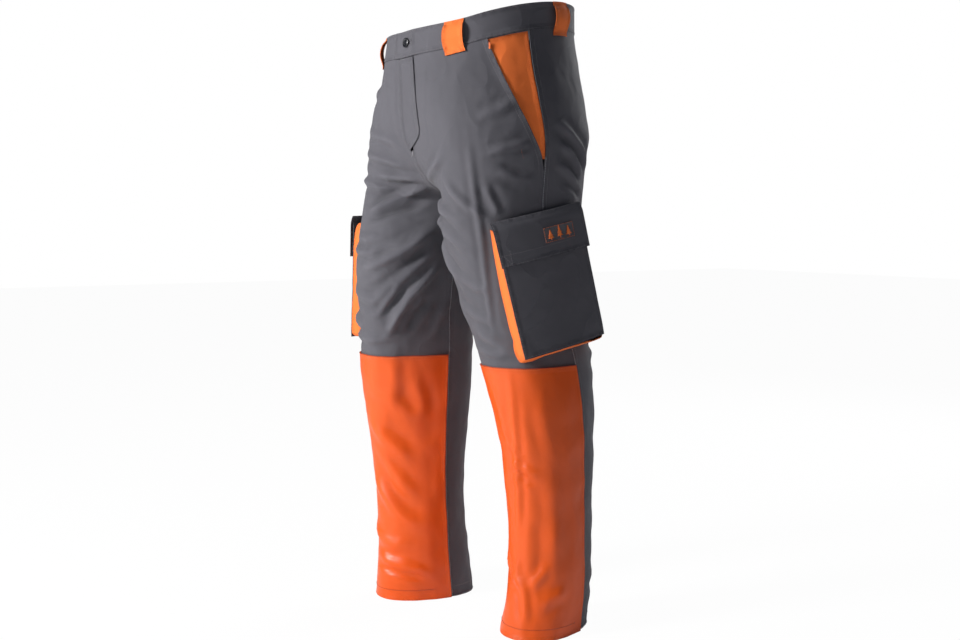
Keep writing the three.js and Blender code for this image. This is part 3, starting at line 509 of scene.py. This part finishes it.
def wear_group():
    """Colour of the cloth: cloudy variation and fine flecks, fold ridges painted lighter as wear and painted
    light, and painted shade in the fold valleys and along the seams.
    """
    group, given, out = node_group("cloth wear", [
        ("Color", "NodeSocketColor", (0.5, 0.5, 0.5, 1)),
        ("Cloud", "NodeSocketFloat", 0.16),
        ("Fleck", "NodeSocketFloat", 0.12),
        ("Ridge", "NodeSocketFloat", 14.0),
        ("Seam", "NodeSocketFloat", 0.12),
        ("Tone", "NodeSocketFloat", 1.0),
    ], [("Color", "NodeSocketColor")])
    cloud = add(group, "ShaderNodeTexNoise", Scale=11.0, Detail=4.0, Roughness=0.6)
    fleck = add(group, "ShaderNodeTexNoise", Scale=950.0, Detail=2.0)
    on_object(group, cloud, fleck)
    cloudy = maths(group, "SUBTRACT", cloud.outputs["Fac"], 0.5)
    flecked = maths(group, "SUBTRACT", fleck.outputs["Fac"], 0.5)
    fold, seam = attribute(group, "fold"), attribute(group, "seam")
    # worn gathers the cloudy tone, the flecks and the painted light and shade of the folds and seams
    worn = maths(group, "ADD", 1.0, maths(group, "MULTIPLY", cloudy, given.outputs["Cloud"]))
    worn = maths(group, "ADD", worn, maths(group, "MULTIPLY", flecked, given.outputs["Fleck"]))
    # painted light on the fold ridges and painted shade in the fold valleys, from the kept fold lift
    worn = maths(group, "ADD", worn, maths(group, "MULTIPLY", fold, given.outputs["Ridge"]))
    # painted shade along the cut edges, where the panels meet at the seams
    worn = maths(group, "SUBTRACT", worn, maths(group, "MULTIPLY", seam, given.outputs["Seam"]))
    worn = maths(group, "MAXIMUM", maths(group, "MULTIPLY", worn, given.outputs["Tone"]), 0.1)
    scaled = add(group, "ShaderNodeVectorMath", operation="SCALE")
    group.links.new(given.outputs["Color"], scaled.inputs[0])
    group.links.new(worn, scaled.inputs["Scale"])
    group.links.new(scaled.outputs[0], out.inputs["Color"])
    return group


def pucker_group():
    """Small dents along the sewn edges and the soft creasing of heavy cloth, as a height."""
    group, given, out = node_group("seam puckers", [
        ("Depth", "NodeSocketFloat", 1.0),
        ("Crumple", "NodeSocketFloat", 0.35),
    ], [("Height", "NodeSocketFloat")])
    dents = add(group, "ShaderNodeTexNoise", Scale=110.0, Detail=2.0)
    crumple = add(group, "ShaderNodeTexNoise", noise_type="RIDGED_MULTIFRACTAL", Scale=17.0, Detail=2.0,
                  Roughness=0.4, Distortion=0.4, Offset=0.6)
    on_object(group, dents, crumple)
    at_seam = maths(group, "MULTIPLY", dents.outputs["Fac"], attribute(group, "seam"))
    at_seam = maths(group, "MULTIPLY", at_seam, given.outputs["Depth"])
    creases = maths(group, "MULTIPLY", crumple.outputs["Fac"], given.outputs["Crumple"])
    group.links.new(maths(group, "ADD", at_seam, creases), out.inputs["Height"])
    return group


TWILL = weave_group()
WEAR_AND_SHADE = wear_group()
PUCKER = pucker_group()


def start_material(name, roughness, **settings):
    """A material with its shader's plain values set."""
    material = bpy.data.materials.new(name)
    material.use_nodes = True
    tree = material.node_tree
    shader = tree.nodes["Principled BSDF"]
    shader.inputs["Roughness"].default_value = roughness
    for key, value in settings.items():
        shader.inputs[key.replace("_", " ")].default_value = value
    return material, tree, shader


def use_group(tree, group, **values):
    """One of the shared groups, placed with its own values."""
    return add(tree, "ShaderNodeGroup", node_tree=group, **values)


def cloth_material(name, colour, pitch=0.0009, cloud=0.16, fleck=0.14, ridge=12.0, sheen=0.25, crumple=0.5):
    """Woven cloth: twill ribs, puckered seams, fold ridges painted lighter as wear and painted light, and
    painted shade in the fold valleys and along the seams.
    """
    material, tree, shader = start_material(name, 0.82, Sheen_Weight=sheen, Sheen_Roughness=0.5,
                                            Specular_IOR_Level=0.25)
    weave = use_group(tree, TWILL, Pitch=pitch)
    # ridge sets the painted light on the fold ridges and the painted shade in the fold valleys; the seams get
    # painted shade too
    wear_and_shade = use_group(tree, WEAR_AND_SHADE, Color=(*colour, 1), Cloud=cloud, Fleck=fleck, Ridge=ridge, Seam=0.1)
    tree.links.new(weave.outputs["Tone"], wear_and_shade.inputs["Tone"])
    tree.links.new(wear_and_shade.outputs["Color"], shader.inputs["Base Color"])
    pucker = use_group(tree, PUCKER, Crumple=crumple)
    wide = bump(tree, pucker.outputs["Height"], 1.0, 0.0040)
    fine = bump(tree, weave.outputs["Height"], 0.6, 0.00022, under=wide)
    tree.links.new(fine, shader.inputs["Normal"])
    return material


def coated_material():
    """Orange coated cloth: smooth, half glossy and lightly scuffed."""
    material, tree, shader = start_material("coated orange cloth", 0.4, Coat_Weight=0.2, Coat_Roughness=0.34,
                                            Specular_IOR_Level=0.35)
    # the colour group paints the fold ridges lighter, part wear and part painted light, and adds painted
    # shade in the fold valleys and along the seams
    wear_and_shade = use_group(tree, WEAR_AND_SHADE, Color=(0.70, 0.084, 0.0008, 1), Cloud=0.2, Fleck=0.04, Ridge=10.0, Seam=0.08)
    tree.links.new(wear_and_shade.outputs["Color"], shader.inputs["Base Color"])
    grain = add(tree, "ShaderNodeTexVoronoi", Scale=900.0)
    scuffs = add(tree, "ShaderNodeTexNoise", Scale=60.0, Detail=6.0, Roughness=0.7)
    on_object(tree, grain, scuffs)
    tree.links.new(spread(tree, scuffs.outputs["Fac"], 0.2, 0.36), shader.inputs["Roughness"])
    pucker = use_group(tree, PUCKER, Crumple=0.25, Depth=1.1)
    wide = bump(tree, pucker.outputs["Height"], 0.7, 0.0026)
    fine = bump(tree, grain.outputs["Distance"], 0.35, 0.0001, under=wide)
    tree.links.new(fine, shader.inputs["Normal"])
    return material


def hard_material(name, colour, roughness, metallic=0.0, grain=400.0, coat=0.0):
    """Metal or plastic with fine scratches."""
    material, tree, shader = start_material(name, roughness, Metallic=metallic, Coat_Weight=coat)
    scratch = add(tree, "ShaderNodeTexNoise", Scale=grain, Detail=5.0, Roughness=0.65)
    on_object(tree, scratch)
    scratches = scratch.outputs["Fac"]
    tree.links.new(shaded(tree, colour, spread(tree, scratches, 0.5, 0.75)), shader.inputs["Base Color"])
    tree.links.new(spread(tree, scratches, 0.2, roughness - 0.1), shader.inputs["Roughness"])
    tree.links.new(bump(tree, scratches, 0.2, 0.0002), shader.inputs["Normal"])
    return material


def thread_material(name, colour):
    """Sewing thread with its twist."""
    material, tree, shader = start_material(name, 0.55, Sheen_Weight=0.2)
    twist = add(tree, "ShaderNodeTexNoise", Scale=2600.0, Detail=2.0)
    on_object(tree, twist)
    strands = twist.outputs["Fac"]
    tree.links.new(shaded(tree, colour, spread(tree, strands, 0.5, 0.75)), shader.inputs["Base Color"])
    tree.links.new(bump(tree, strands, 0.4, 0.0001), shader.inputs["Normal"])
    return material


# ridge sets how strongly each cloth's fold ridges are painted lighter and its fold valleys given painted
# shade; the grey has the most
GREY = cloth_material("grey twill", (0.090, 0.087, 0.099), ridge=26.0, cloud=0.3, sheen=0.1)
ORANGE = cloth_material("orange twill", (0.88, 0.185, 0.038), ridge=6.0, sheen=0.0)
COATED = coated_material()
LINING = cloth_material("dark lining", (0.028, 0.028, 0.034), pitch=0.0006, ridge=4.0, crumple=0.5)
FIBRE = cloth_material("insert fibre", (0.62, 0.58, 0.5), pitch=0.0015, fleck=0.3, ridge=2.0, crumple=0.7)
TAPE = cloth_material("nylon tape", (0.02, 0.02, 0.025), pitch=0.0012, ridge=2.0, fleck=0.3, crumple=0.05)
BADGE = cloth_material("embroidery ground", (0.10, 0.095, 0.105), pitch=0.0007, ridge=2.0, crumple=0.1)
BUTTON = hard_material("black button", (0.012, 0.012, 0.014), 0.25, coat=0.5, grain=120.0)
METAL = hard_material("dark nickel", (0.18, 0.185, 0.2), 0.35, metallic=1.0)
GREY_THREAD = thread_material("grey thread", (0.15, 0.14, 0.155))
PALE_THREAD = thread_material("pale thread", (0.42, 0.42, 0.46))
# very dark, coarse thread for the hem row and the shin's top edge: stitching darkened to paint a shadow line
SHADOW_LINE_THREAD = thread_material("hem thread", (0.22, 0.02, 0.002))
ORANGE_THREAD = thread_material("orange thread", (0.85, 0.17, 0.03))
SHINE_THREAD = thread_material("badge thread", (0.93, 0.20, 0.03))


# ---- Cloth pieces ----

FINISHES = {"grey_twill": GREY, "orange_twill": ORANGE, "orange_coated": COATED, "dark_lining": LINING,
            "insert_fibre": FIBRE, "tape": TAPE, "embroidery": BADGE}
WEAVE_RADIUS = 0.105


def lay_plane(mesh, leg):
    """A map in metres round the leg and up it, so that the weave follows the cut."""
    points, _ = read_points(mesh)
    centre = leg_centre(leg, points[:, 2])
    angle = np.arctan2(points[:, 0] - centre[:, 0], centre[:, 1] - points[:, 1])
    middle = math.atan2(np.sin(angle).mean(), np.cos(angle).mean())
    angle = (angle - middle + math.pi) % (2 * math.pi) - math.pi
    layer = mesh.uv_layers.new(name="cut")
    loops = np.empty(len(mesh.loops), int)
    mesh.loops.foreach_get("vertex_index", loops)
    plane = np.stack([angle * WEAVE_RADIUS, points[:, 2]], -1)[loops]
    layer.data.foreach_set("uv", plane.astype(np.float32).ravel())


def mark_seams(mesh, reach=0.009):
    """An attribute that is 1 at the cut edges and 0 further in."""
    shape = bmesh.new()
    shape.from_mesh(mesh)
    edge_points = [v.co.copy() for v in shape.verts if v.is_boundary]
    shape.free()
    tree = KDTree(len(edge_points))
    for i, point in enumerate(edge_points):
        tree.insert(point, i)
    tree.balance()
    values = np.zeros(len(mesh.vertices), np.float32)
    for i, v in enumerate(mesh.vertices):
        values[i] = max(0.0, 1.0 - tree.find(v.co)[2] / reach)
    mesh.attributes.new("seam", "FLOAT", "POINT").data.foreach_set("value", values)


def piece_of(whole, index, name):
    """One piece of a joined cloth, as its own object."""
    shape = bmesh.new()
    shape.from_mesh(whole.data)
    bmesh.ops.delete(shape, geom=[f for f in shape.faces if f.material_index != index], context="FACES")
    for face in shape.faces:
        face.material_index = 0
    obj = new_object(name, shape)
    obj.data.materials.clear()
    return obj


def cut_cloth(node, name, rounds, stand_off=0.0, folds=1.0):
    """One piece cut from the frame, smoothed, folded and moved out by its stand-off."""
    cloth = smooth_sheets([node], rounds)
    cloth.name = name
    cloth.data.materials.clear()
    lift_cloth(cloth.data, extra=stand_off, folds=folds)
    return cloth


# Each piece before it gets its thickness, for laying stitches on
open_sheets = {}


def finish_sheet(obj, node, slot, body, thickness, length, held, rests_on):
    """A blended piece has no body."""
    mesh = obj.data
    lay_plane(mesh, leg_of(node))
    mark_seams(mesh)
    open_sheets[node] = mesh.copy()
    mesh.materials.append(FINISHES[slot])
    for polygon in mesh.polygons:
        polygon.use_smooth = True
    thick = obj.modifiers.new("thickness", "SOLIDIFY")
    thick.thickness = thickness
    thick.offset = -1.0
    thick.use_even_offset = False
    evaluated(obj)
    obj.data.set_sharp_from_angle(angle=SHARP_ANGLE)
    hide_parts(node)
    if body:
        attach(obj, body)


PANELS = ["left_front_panel", "left_back_panel", "right_front_panel", "right_back_panel"]
body_cloth = smooth_sheets(PANELS, 3, weld=0.0008)
lift_cloth(body_cloth.data)
for index, node in enumerate(PANELS):
    panel = piece_of(body_cloth, index, node.replace("panel", "cloth"))
    finish_sheet(panel, node, "grey_twill", "trousers", CLOTH, 1.02, "hung", "waistband")
bpy.data.objects.remove(body_cloth)

# node, new name, material slot, rounds of smoothing, stand-off, thickness, cut length, held, rests on
SHEETS = [
    ("waistband", "waistband_cloth", "grey_twill", 3, 0, CLOTH, 1.10, "stretched", "left_front_panel"),
    ("waistband_facing", "waistband_facing_cloth", "dark_lining", 2, 0, CLOTH, 1.05, "stretched",
     "waistband"),
    ("waistband_interlining", "interlining_cloth", "insert_fibre", 1, 0, LINING_CLOTH, 1.05, "stretched",
     "waistband"),
    ("centre_back_belt_loop", "centre_back_loop_cloth", "orange_twill", 3, 0, CLOTH, 0.06, "stretched",
     "waistband"),
    ("fly_shield", "fly_shield_cloth", "grey_twill", 2, 0, CLOTH, 0.15, "hung", "waistband"),
    ("right_rear_pocket", "rear_pocket_cloth", "grey_twill", 3, 0.0006, CLOTH, 0.16, "laid",
     "right_back_panel"),
]
# The pieces that both sides have, with {} for the side
PAIRED_SHEETS = [
    ("{}_shin_panel", "{}_shin_cloth", "orange_coated", 3, 0.0012, COATED_CLOTH, 0.478, "laid",
     "{}_front_panel"),
    ("{}_lining", "{}_lining_cloth", "dark_lining", 1, -0.011, LINING_CLOTH, 0.80, "hung", "waistband"),
    ("{}_pocket_facing", "{}_facing_cloth", "orange_twill", 3, 0, CLOTH, 0.22, "laid", "{}_front_panel"),
    ("{}_pocket_bag", "{}_pocket_bag_cloth", "dark_lining", 1, -0.007, CLOTH, 0.24, "hung",
     "{}_pocket_facing"),
    ("{}_cargo_face", "{}_cargo_cloth", "grey_twill", 3, 0, CLOTH, 0.235, "hung", "{}_cargo_gusset"),
    ("{}_cargo_gusset", "{}_gusset_cloth", "orange_twill", 3, 0, CLOTH, 0.60, "gathered", "{}_back_panel"),
    ("{}_loop_tape", "{}_loop_tape_cloth", "tape", 1, 0, TAPE_CLOTH, 0.11, "laid", "{}_cargo_face"),
    ("{}_front_belt_loop", "{}_front_loop_cloth", "orange_twill", 3, 0, CLOTH, 0.06, "stretched",
     "waistband"),
    ("{}_back_belt_loop", "{}_back_loop_cloth", "orange_twill", 3, 0, CLOTH, 0.06, "stretched",
     "waistband"),
    ("{}_zip_tape", "{}_zip_tape_cloth", "tape", 1, 0, ZIP_TAPE_CLOTH, 0.14, "stretched", "{}_front_panel"),
]
for row in PAIRED_SHEETS:
    for side, _ in SIDES:
        SHEETS.append(tuple(v.format(side) if isinstance(v, str) else v for v in row))


def pocket_down(turn):
    """The way down the leaning face of a cargo pocket."""
    return Vector((turn * 0.0145, 0.2074, -0.978))


def swell_gusset(mesh, turn, swell=0.011):
    """The bellows bulge below the pocket face, between their sewn edges."""
    outward = Vector((turn * math.sin(math.radians(86)), -math.cos(math.radians(86)), 0))
    down = pocket_down(turn)
    depth = [v.co.dot(outward) for v in mesh.vertices]
    drop = [v.co.dot(down) for v in mesh.vertices]
    near, far, lowest = min(depth), max(depth), max(drop)
    for v, d, low in zip(mesh.vertices, depth, drop):
        across = math.sin(math.pi * min(1, 0.12 + 0.88 * (d - near) / (far - near)))
        reach = min(1, max(0, (low - lowest + 0.020) / 0.016))
        v.co += down * swell * across * reach * reach
    mesh.update()


for node, name, slot, rounds, stand_off, thickness, length, held, rests_on in SHEETS:
    cloth = cut_cloth(node, name, rounds, stand_off)
    if "gusset" in node:
        swell_gusset(cloth.data, 1 if "left" in node else -1)
    finish_sheet(cloth, node, slot, "trousers", thickness, length, held, rests_on)

# The moving cloth: pocket flaps with their tape and badge, and the fly flap.
hinges = {joint["name"]: joint for joint in frame["joints"]}
for side, _ in SIDES:
    flap = f"{side}_cargo_flap"
    cloth = cut_cloth(flap, f"{side}_flap_cloth", 3, folds=0.0)
    finish_sheet(cloth, flap, "grey_twill", None, CLOTH, 0.18, "hung", f"{side}_cargo_gusset")
    edge = Vector(hinges[f"{side}_flap_hinge"]["pos_m"])
    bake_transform(cloth)
    tape = f"{side}_hook_tape"
    cloth = cut_cloth(tape, f"{side}_hook_tape_cloth", 1, folds=0.0)
    finish_sheet(cloth, tape, "tape", f"{side}_flap", CLOTH, 0.11, "hung", f"{side}_cargo_gusset")

fly = cut_cloth("fly_flap", "fly_cloth", 3, folds=0.0)
for v in fly.data.vertices:
    # the sewn edge sinks into the seam
    v.co.y += 0.0013 * min(1, max(0, (v.co.x - 0.030) / 0.016))
finish_sheet(fly, "fly_flap", "grey_twill", None, CLOTH, 0.16, "hung", "waistband")
edge = Vector(hinges["fly_flap_hinge"]["pos_m"])
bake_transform(fly)

badge = cut_cloth("left_flap_badge", "badge_cloth", 2, folds=0.0)
finish_sheet(badge, "left_flap_badge", "embroidery", "left_flap", BADGE_CLOTH, 0.062, "laid",
             "left_cargo_flap")

# The protective pads between panel and lining
for side, _ in SIDES:
    node = f"{side}_protective_insert"
    pad = cut_cloth(node, f"{side}_pad", 1, stand_off=-0.006)
    lay_plane(pad.data, side)
    mark_seams(pad.data)
    pad.data.materials.append(FIBRE)
    filling = pad.modifiers.new("filling", "SOLIDIFY")
    filling.thickness = PAD
    filling.offset = -1.0
    evaluated(pad)
    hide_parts(node)
    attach(pad, "trousers")


# ---- Stitching ----

def edge_walks(shape):
    """The open edges of a sheet, each as a run of vertices in order, with whether it closes on itself."""
    following = {}
    for edge in shape.edges:
        if edge.is_boundary:
            for corner in edge.link_faces[0].loops:
                if corner.edge == edge:
                    following[corner.vert] = corner.link_loop_next.vert
    used = set()
    for first in following:
        run, vert = [], first
        while vert in following and vert not in used:
            used.add(vert)
            run.append(vert)
            vert = following[vert]
        if run:
            yield run, vert == first


def edge_runs(node, keep):
    """The open edges where keep(point) holds: runs of points, each with its way inwards and its normal."""
    shape = bmesh.new()
    shape.from_mesh(open_sheets[node])
    shape.normal_update()
    runs = []
    for run, closed in edge_walks(shape):
        current = []
        for i, v in enumerate(run):
            after = run[(i + 1) % len(run)] if closed or i + 1 < len(run) else v
            before = run[i - 1] if closed or i else v
            way = after.co - before.co
            if way.length < 1e-9:
                continue
            if keep(v.co):
                current.append((v.co.copy(), v.normal.cross(way.normalized()), v.normal.copy()))
            elif current:
                runs.append(current)
                current = []
        if current:
            runs.append(current)
    shape.free()
    return [run for run in runs if len(run) > 2]


def drop_stitches(shape, points, normals, radius, length=STITCH_LENGTH, gap=STITCH_GAP):
    """Single thread stitches laid end to end along a line."""
    distances = [0.0]
    for a, b in zip(points[:-1], points[1:]):
        distances.append(distances[-1] + (b - a).length)
    place, index = gap, 0
    while place + length < distances[-1]:
        ends = []
        for d in (place, place + length):
            while index + 1 < len(distances) - 1 and distances[index + 1] < d:
                index += 1
            span = max(distances[index + 1] - distances[index], 1e-9)
            t = min(max((d - distances[index]) / span, 0), 1)
            facing = normals[index].lerp(normals[index + 1], t)
            ends.append((points[index].lerp(points[index + 1], t), facing))
        (start, up), (end, _) = ends
        way = end - start
        if way.length > 1e-5:
            side = up.normalized().cross(way).normalized()
            up = way.cross(side).normalized()
            turn = Matrix((side, up, way.normalized())).transposed().to_4x4()
            middle = Matrix.Translation((start + end) / 2 + up * radius * 0.5)
            thread_size = Matrix.Diagonal((radius * 1.25, radius, way.length / 2, 1))
            bmesh.ops.create_icosphere(shape, subdivisions=1, radius=1.0, matrix=middle @ turn @ thread_size)
        place += length + gap


# All the stitches of one thread on one body, joined into one piece
threads = {}


def thread_shape(body, thread):
    return threads.setdefault((body, thread.name), bmesh.new())


def sew(shape, tree, wished, radius, reach=1.0):
    """Stitches along the spots of the cloth that lie nearest to the wished points."""
    points, normals = [], []
    for point in wished:
        spot, facing, _, away = tree.find_nearest(point)
        if away > reach or (points and (spot - points[-1]).length < 0.0012):
            continue
        points.append(spot)
        normals.append(facing)
    if len(points) > 3:
        drop_stitches(shape, points, normals, radius)


def topstitch(node, inset, thread, body="trousers", keep=lambda p: True, radius=THREAD):
    """A row of stitches at a set distance inside the open edges of a sheet."""
    tree = tree_of(open_sheets[node])
    for run in edge_runs(node, keep):
        sew(thread_shape(body, thread), tree, [place + inward * inset for place, inward, _ in run], radius)


def stitch_round(node, height, start, end, thread, radius=THREAD):
    """A level row of stitches round a leg, from one azimuth to another."""
    leg, steps = leg_of(node), 24
    corners = [on_leg(leg, start + (end - start) * i / steps, height) for i in range(steps + 1)]
    wished = []
    for a, b in zip(corners[:-1], corners[1:]):
        parts = max(2, int((b - a).length / 0.003))
        wished += [a.lerp(b, i / parts) for i in range(parts)]
    sew(thread_shape("trousers", thread), tree_of(open_sheets[node]), wished, radius, reach=0.03)


def bar_tack(node, place, way, thread, length=0.010, rows=22):
    """A dense bar of short stitches that closes the end of a pocket mouth or of the fly."""
    spot, facing, _, _ = tree_of(open_sheets[node]).find_nearest(place)
    side = facing.cross(way).normalized()
    way = side.cross(facing).normalized()
    for row in range(rows):
        middle = spot + way * length * (row / (rows - 1) - 0.5) + facing * 0.0004
        drop_stitches(thread_shape("trousers", thread), [middle - side * 0.0022, middle + side * 0.0022],
                      [facing, facing], 0.0004, length=0.0043, gap=0.00002)


def stitch_side(side, turn):
    """The rows of one leg, its pockets and its belt loops."""
    shin, back, front = f"{side}_shin_panel", f"{side}_back_panel", f"{side}_front_panel"
    # the hem row in the dark thread: a real stitch row that also paints the shadow line of the hem fold
    stitch_round(shin, 0.020, turn * 100, turn * -88, SHADOW_LINE_THREAD, radius=COARSE_THREAD)
    # dark coarse stitches on the shin's top edge: a painted shadow line where the grey cloth overhangs the
    # orange panel
    topstitch(shin, 0.0006, SHADOW_LINE_THREAD, keep=lambda p: p.z > 0.465, radius=COARSE_THREAD)
    topstitch(shin, 0.003, ORANGE_THREAD, keep=lambda p: p.z > 0.03)
    topstitch(back, 0.0016, PALE_THREAD, keep=lambda p: p.z < 0.835, radius=COARSE_THREAD)
    topstitch(back, 0.0088, GREY_THREAD, keep=lambda p: 0.03 < p.z < 1.04 and abs(p.x) > 0.15)
    stitch_round(back, 0.020, turn * 110, turn * 250, GREY_THREAD)
    topstitch(front, 0.0022, GREY_THREAD, keep=lambda p: p.z > 0.80 and abs(p.x) > 0.03)
    topstitch(front, 0.0088, GREY_THREAD, keep=lambda p: 0.82 < p.z < 1.05 and abs(p.x) > 0.10)
    topstitch(f"{side}_pocket_facing", 0.003, ORANGE_THREAD)
    topstitch(f"{side}_cargo_gusset", 0.0022, ORANGE_THREAD)
    topstitch(f"{side}_cargo_face", 0.0026, GREY_THREAD)
    flap = f"{side}_cargo_flap"
    flap_top = max(v.co.z for v in open_sheets[flap].vertices)
    topstitch(flap, 0.0026, GREY_THREAD, body=f"{side}_flap")
    topstitch(flap, 0.0200, GREY_THREAD, body=f"{side}_flap", keep=lambda p: p.z < flap_top - 0.085)
    for place in ("front", "back"):
        topstitch(f"{side}_{place}_belt_loop", 0.0035, ORANGE_THREAD)


for side, turn in SIDES:
    stitch_side(side, turn)
topstitch("centre_back_belt_loop", 0.0035, ORANGE_THREAD)
topstitch("waistband", 0.0022, GREY_THREAD)
topstitch("right_rear_pocket", 0.0024, GREY_THREAD)
topstitch("fly_flap", 0.0022, GREY_THREAD, keep=lambda p: p.x > 0.036, radius=THICK_THREAD)
topstitch("fly_flap", 0.0022, GREY_THREAD, body="fly_flap", keep=lambda p: p.x < 0.034)
topstitch("fly_flap", 0.0095, GREY_THREAD, body="fly_flap", keep=lambda p: p.x > -0.005, radius=THICK_THREAD)
for side, _ in SIDES:
    # the crotch seam below the fly, sewn twice
    for inset in (0.0024, 0.0080):
        topstitch(f"{side}_front_panel", inset, GREY_THREAD, radius=THICK_THREAD,
                  keep=lambda p: 0.775 < p.z < 0.852 and abs(p.x) < 0.03)
topstitch("left_flap_badge", 0.0008, ORANGE_THREAD, body="left_flap")

UPRIGHT = Vector((0, 0, 1))
for side, _ in SIDES:
    mouth = [v.co for v in open_sheets[f"{side}_pocket_facing"].vertices]
    mouth_foot = min(mouth, key=lambda p: p.z)
    mouth_top = max(mouth, key=lambda p: p.z - 0.5 * abs(p.x))
    bar_tack(f"{side}_back_panel", mouth_foot - UPRIGHT * 0.002, UPRIGHT, GREY_THREAD, length=0.016)
    bar_tack(f"{side}_front_panel", mouth_top - UPRIGHT * 0.006, UPRIGHT, ORANGE_THREAD)
fly_foot = min((v.co for v in open_sheets["fly_flap"].vertices), key=lambda p: p.z)
bar_tack("left_front_panel", fly_foot + Vector((0.003, 0, -0.001)), Vector((1, 0, 1)), GREY_THREAD,
         length=0.012)

# A row of three fir trees in satin stitch on the badge
badge_mesh = open_sheets["left_flap_badge"]
badge_tree = tree_of(badge_mesh)
badge_middle = sum((v.co for v in badge_mesh.vertices), Vector()) / len(badge_mesh.vertices)
badge_along = -Vector(hinges["left_flap_hinge"]["axis"]).normalized()
badge_down = pocket_down(1).normalized()
TRUNK = 0.14


def sew_fir(foot, tall, rows=24):
    """A fir tree of level satin stitches: a thin trunk under three tiers."""
    for row in range(rows):
        rise = row / (rows - 1)
        tier = ((rise - TRUNK) * 3 / (1 - TRUNK)) % 1.0
        half = 0.0012 if rise < TRUNK else (0.0078 * (1 - rise) + 0.0016) * (1 - 0.45 * tier)
        middle = foot - badge_down * tall * rise
        ends = [badge_tree.find_nearest(middle + badge_along * half * end)[:2] for end in (-1, 1)]
        drop_stitches(thread_shape("left_flap", SHINE_THREAD),
                      [spot + facing * 0.0005 for spot, facing in ends], [facing for _, facing in ends],
                      COARSE_THREAD, length=half * 1.9, gap=half * 0.005)


for shift, tall in ((-0.019, 0.016), (0.0, 0.020), (0.019, 0.016)):
    sew_fir(badge_middle + badge_along * shift + badge_down * 0.009, tall)

for (body, thread_name), shape in threads.items():
    stitches = new_object(f"stitching_{body}_{thread_name.split()[0]}", shape)
    stitches.data.materials.append(bpy.data.materials[thread_name])
    for polygon in stitches.data.polygons:
        polygon.use_smooth = True
    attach(stitches, body)

# ---- Hardware carried over from the frame ----

HARDWARE = {"waist_button": BUTTON, "left_zip_teeth": METAL, "right_zip_teeth": METAL,
            "zip_bottom_stop": METAL, "zip_slider": METAL, "zip_pull": METAL}
for node, material in HARDWARE.items():
    nodes[node].data.materials.clear()
    nodes[node].data.materials.append(material)

# ---- Floor, light and camera ----


def white_to_the_eye(tree, lit, white, output, share=1.0):
    """Mixes a lit surface with a plain white one that only the camera sees."""
    seen = tree.nodes.new("ShaderNodeLightPath")
    mix = tree.nodes.new("ShaderNodeMixShader")
    tree.links.new(maths(tree, "MULTIPLY", seen.outputs["Is Camera Ray"], share), mix.inputs[0])
    tree.links.new(lit.outputs[0], mix.inputs[1])
    tree.links.new(white.outputs[0], mix.inputs[2])
    tree.links.new(mix.outputs[0], tree.nodes[output].inputs["Surface"])


floor_shape = bmesh.new()
bmesh.ops.create_grid(floor_shape, x_segments=1, y_segments=1, size=12.0)
floor = new_object("floor", floor_shape)
pale, pale_tree, pale_shader = start_material("pale floor", 0.9)
pale_shader.inputs["Base Color"].default_value = (0.97, 0.97, 0.97, 1)
glow = add(pale_tree, "ShaderNodeEmission", Color=(1, 1, 1, 1), Strength=1.0)
white_to_the_eye(pale_tree, pale_shader, glow, "Material Output", share=0.97)
floor.data.materials.append(pale)
floor.location.z = -0.0005

world = bpy.data.worlds.new("studio")
bpy.context.scene.world = world
world.use_nodes = True
sky = world.node_tree
soft = sky.nodes["Background"]
soft.inputs["Color"].default_value = (0.70, 0.78, 1, 1)
soft.inputs["Strength"].default_value = 0.085
backdrop = add(sky, "ShaderNodeBackground", Color=(1, 1, 1, 1), Strength=1.0)
white_to_the_eye(sky, soft, backdrop, "World Output")


def place_facing(name, data, place, target):
    """A light or camera at a place, turned to its target."""
    obj = bpy.data.objects.new(name, data)
    bpy.context.scene.collection.objects.link(obj)
    obj.location = place
    obj.rotation_euler = (Vector(target) - Vector(place)).to_track_quat("-Z", "Y").to_euler()
    return obj


def soft_light(name, place, size, power):
    """A square light aimed at the middle of the trousers."""
    lamp = bpy.data.lights.new(name, "AREA")
    lamp.shape = "SQUARE"
    lamp.size = size
    lamp.energy = power
    place_facing(name, lamp, place, (0, 0, 0.6))


soft_light("key light", (-0.3, -3.0, 1.7), 0.7, 138)
soft_light("fill light", (2.6, -1.8, 1.9), 1.6, 5)
soft_light("back light", (-0.9, 2.6, 2.0), 1.5, 55)

AIM = Vector((-0.0022, 0.0074, 0.545))
VIEW_TURN = math.radians(58)
VIEW_DISTANCE = 2.24
VIEW_RISE = 0.183
camera = bpy.data.cameras.new("camera")
camera.sensor_width = 36
camera.lens = 45.4
away = Vector((VIEW_DISTANCE * math.sin(VIEW_TURN), -VIEW_DISTANCE * math.cos(VIEW_TURN), VIEW_RISE))
bpy.context.scene.camera = place_facing("camera", camera, AIM + away, AIM)
bpy.context.scene.view_settings.view_transform = "Standard"
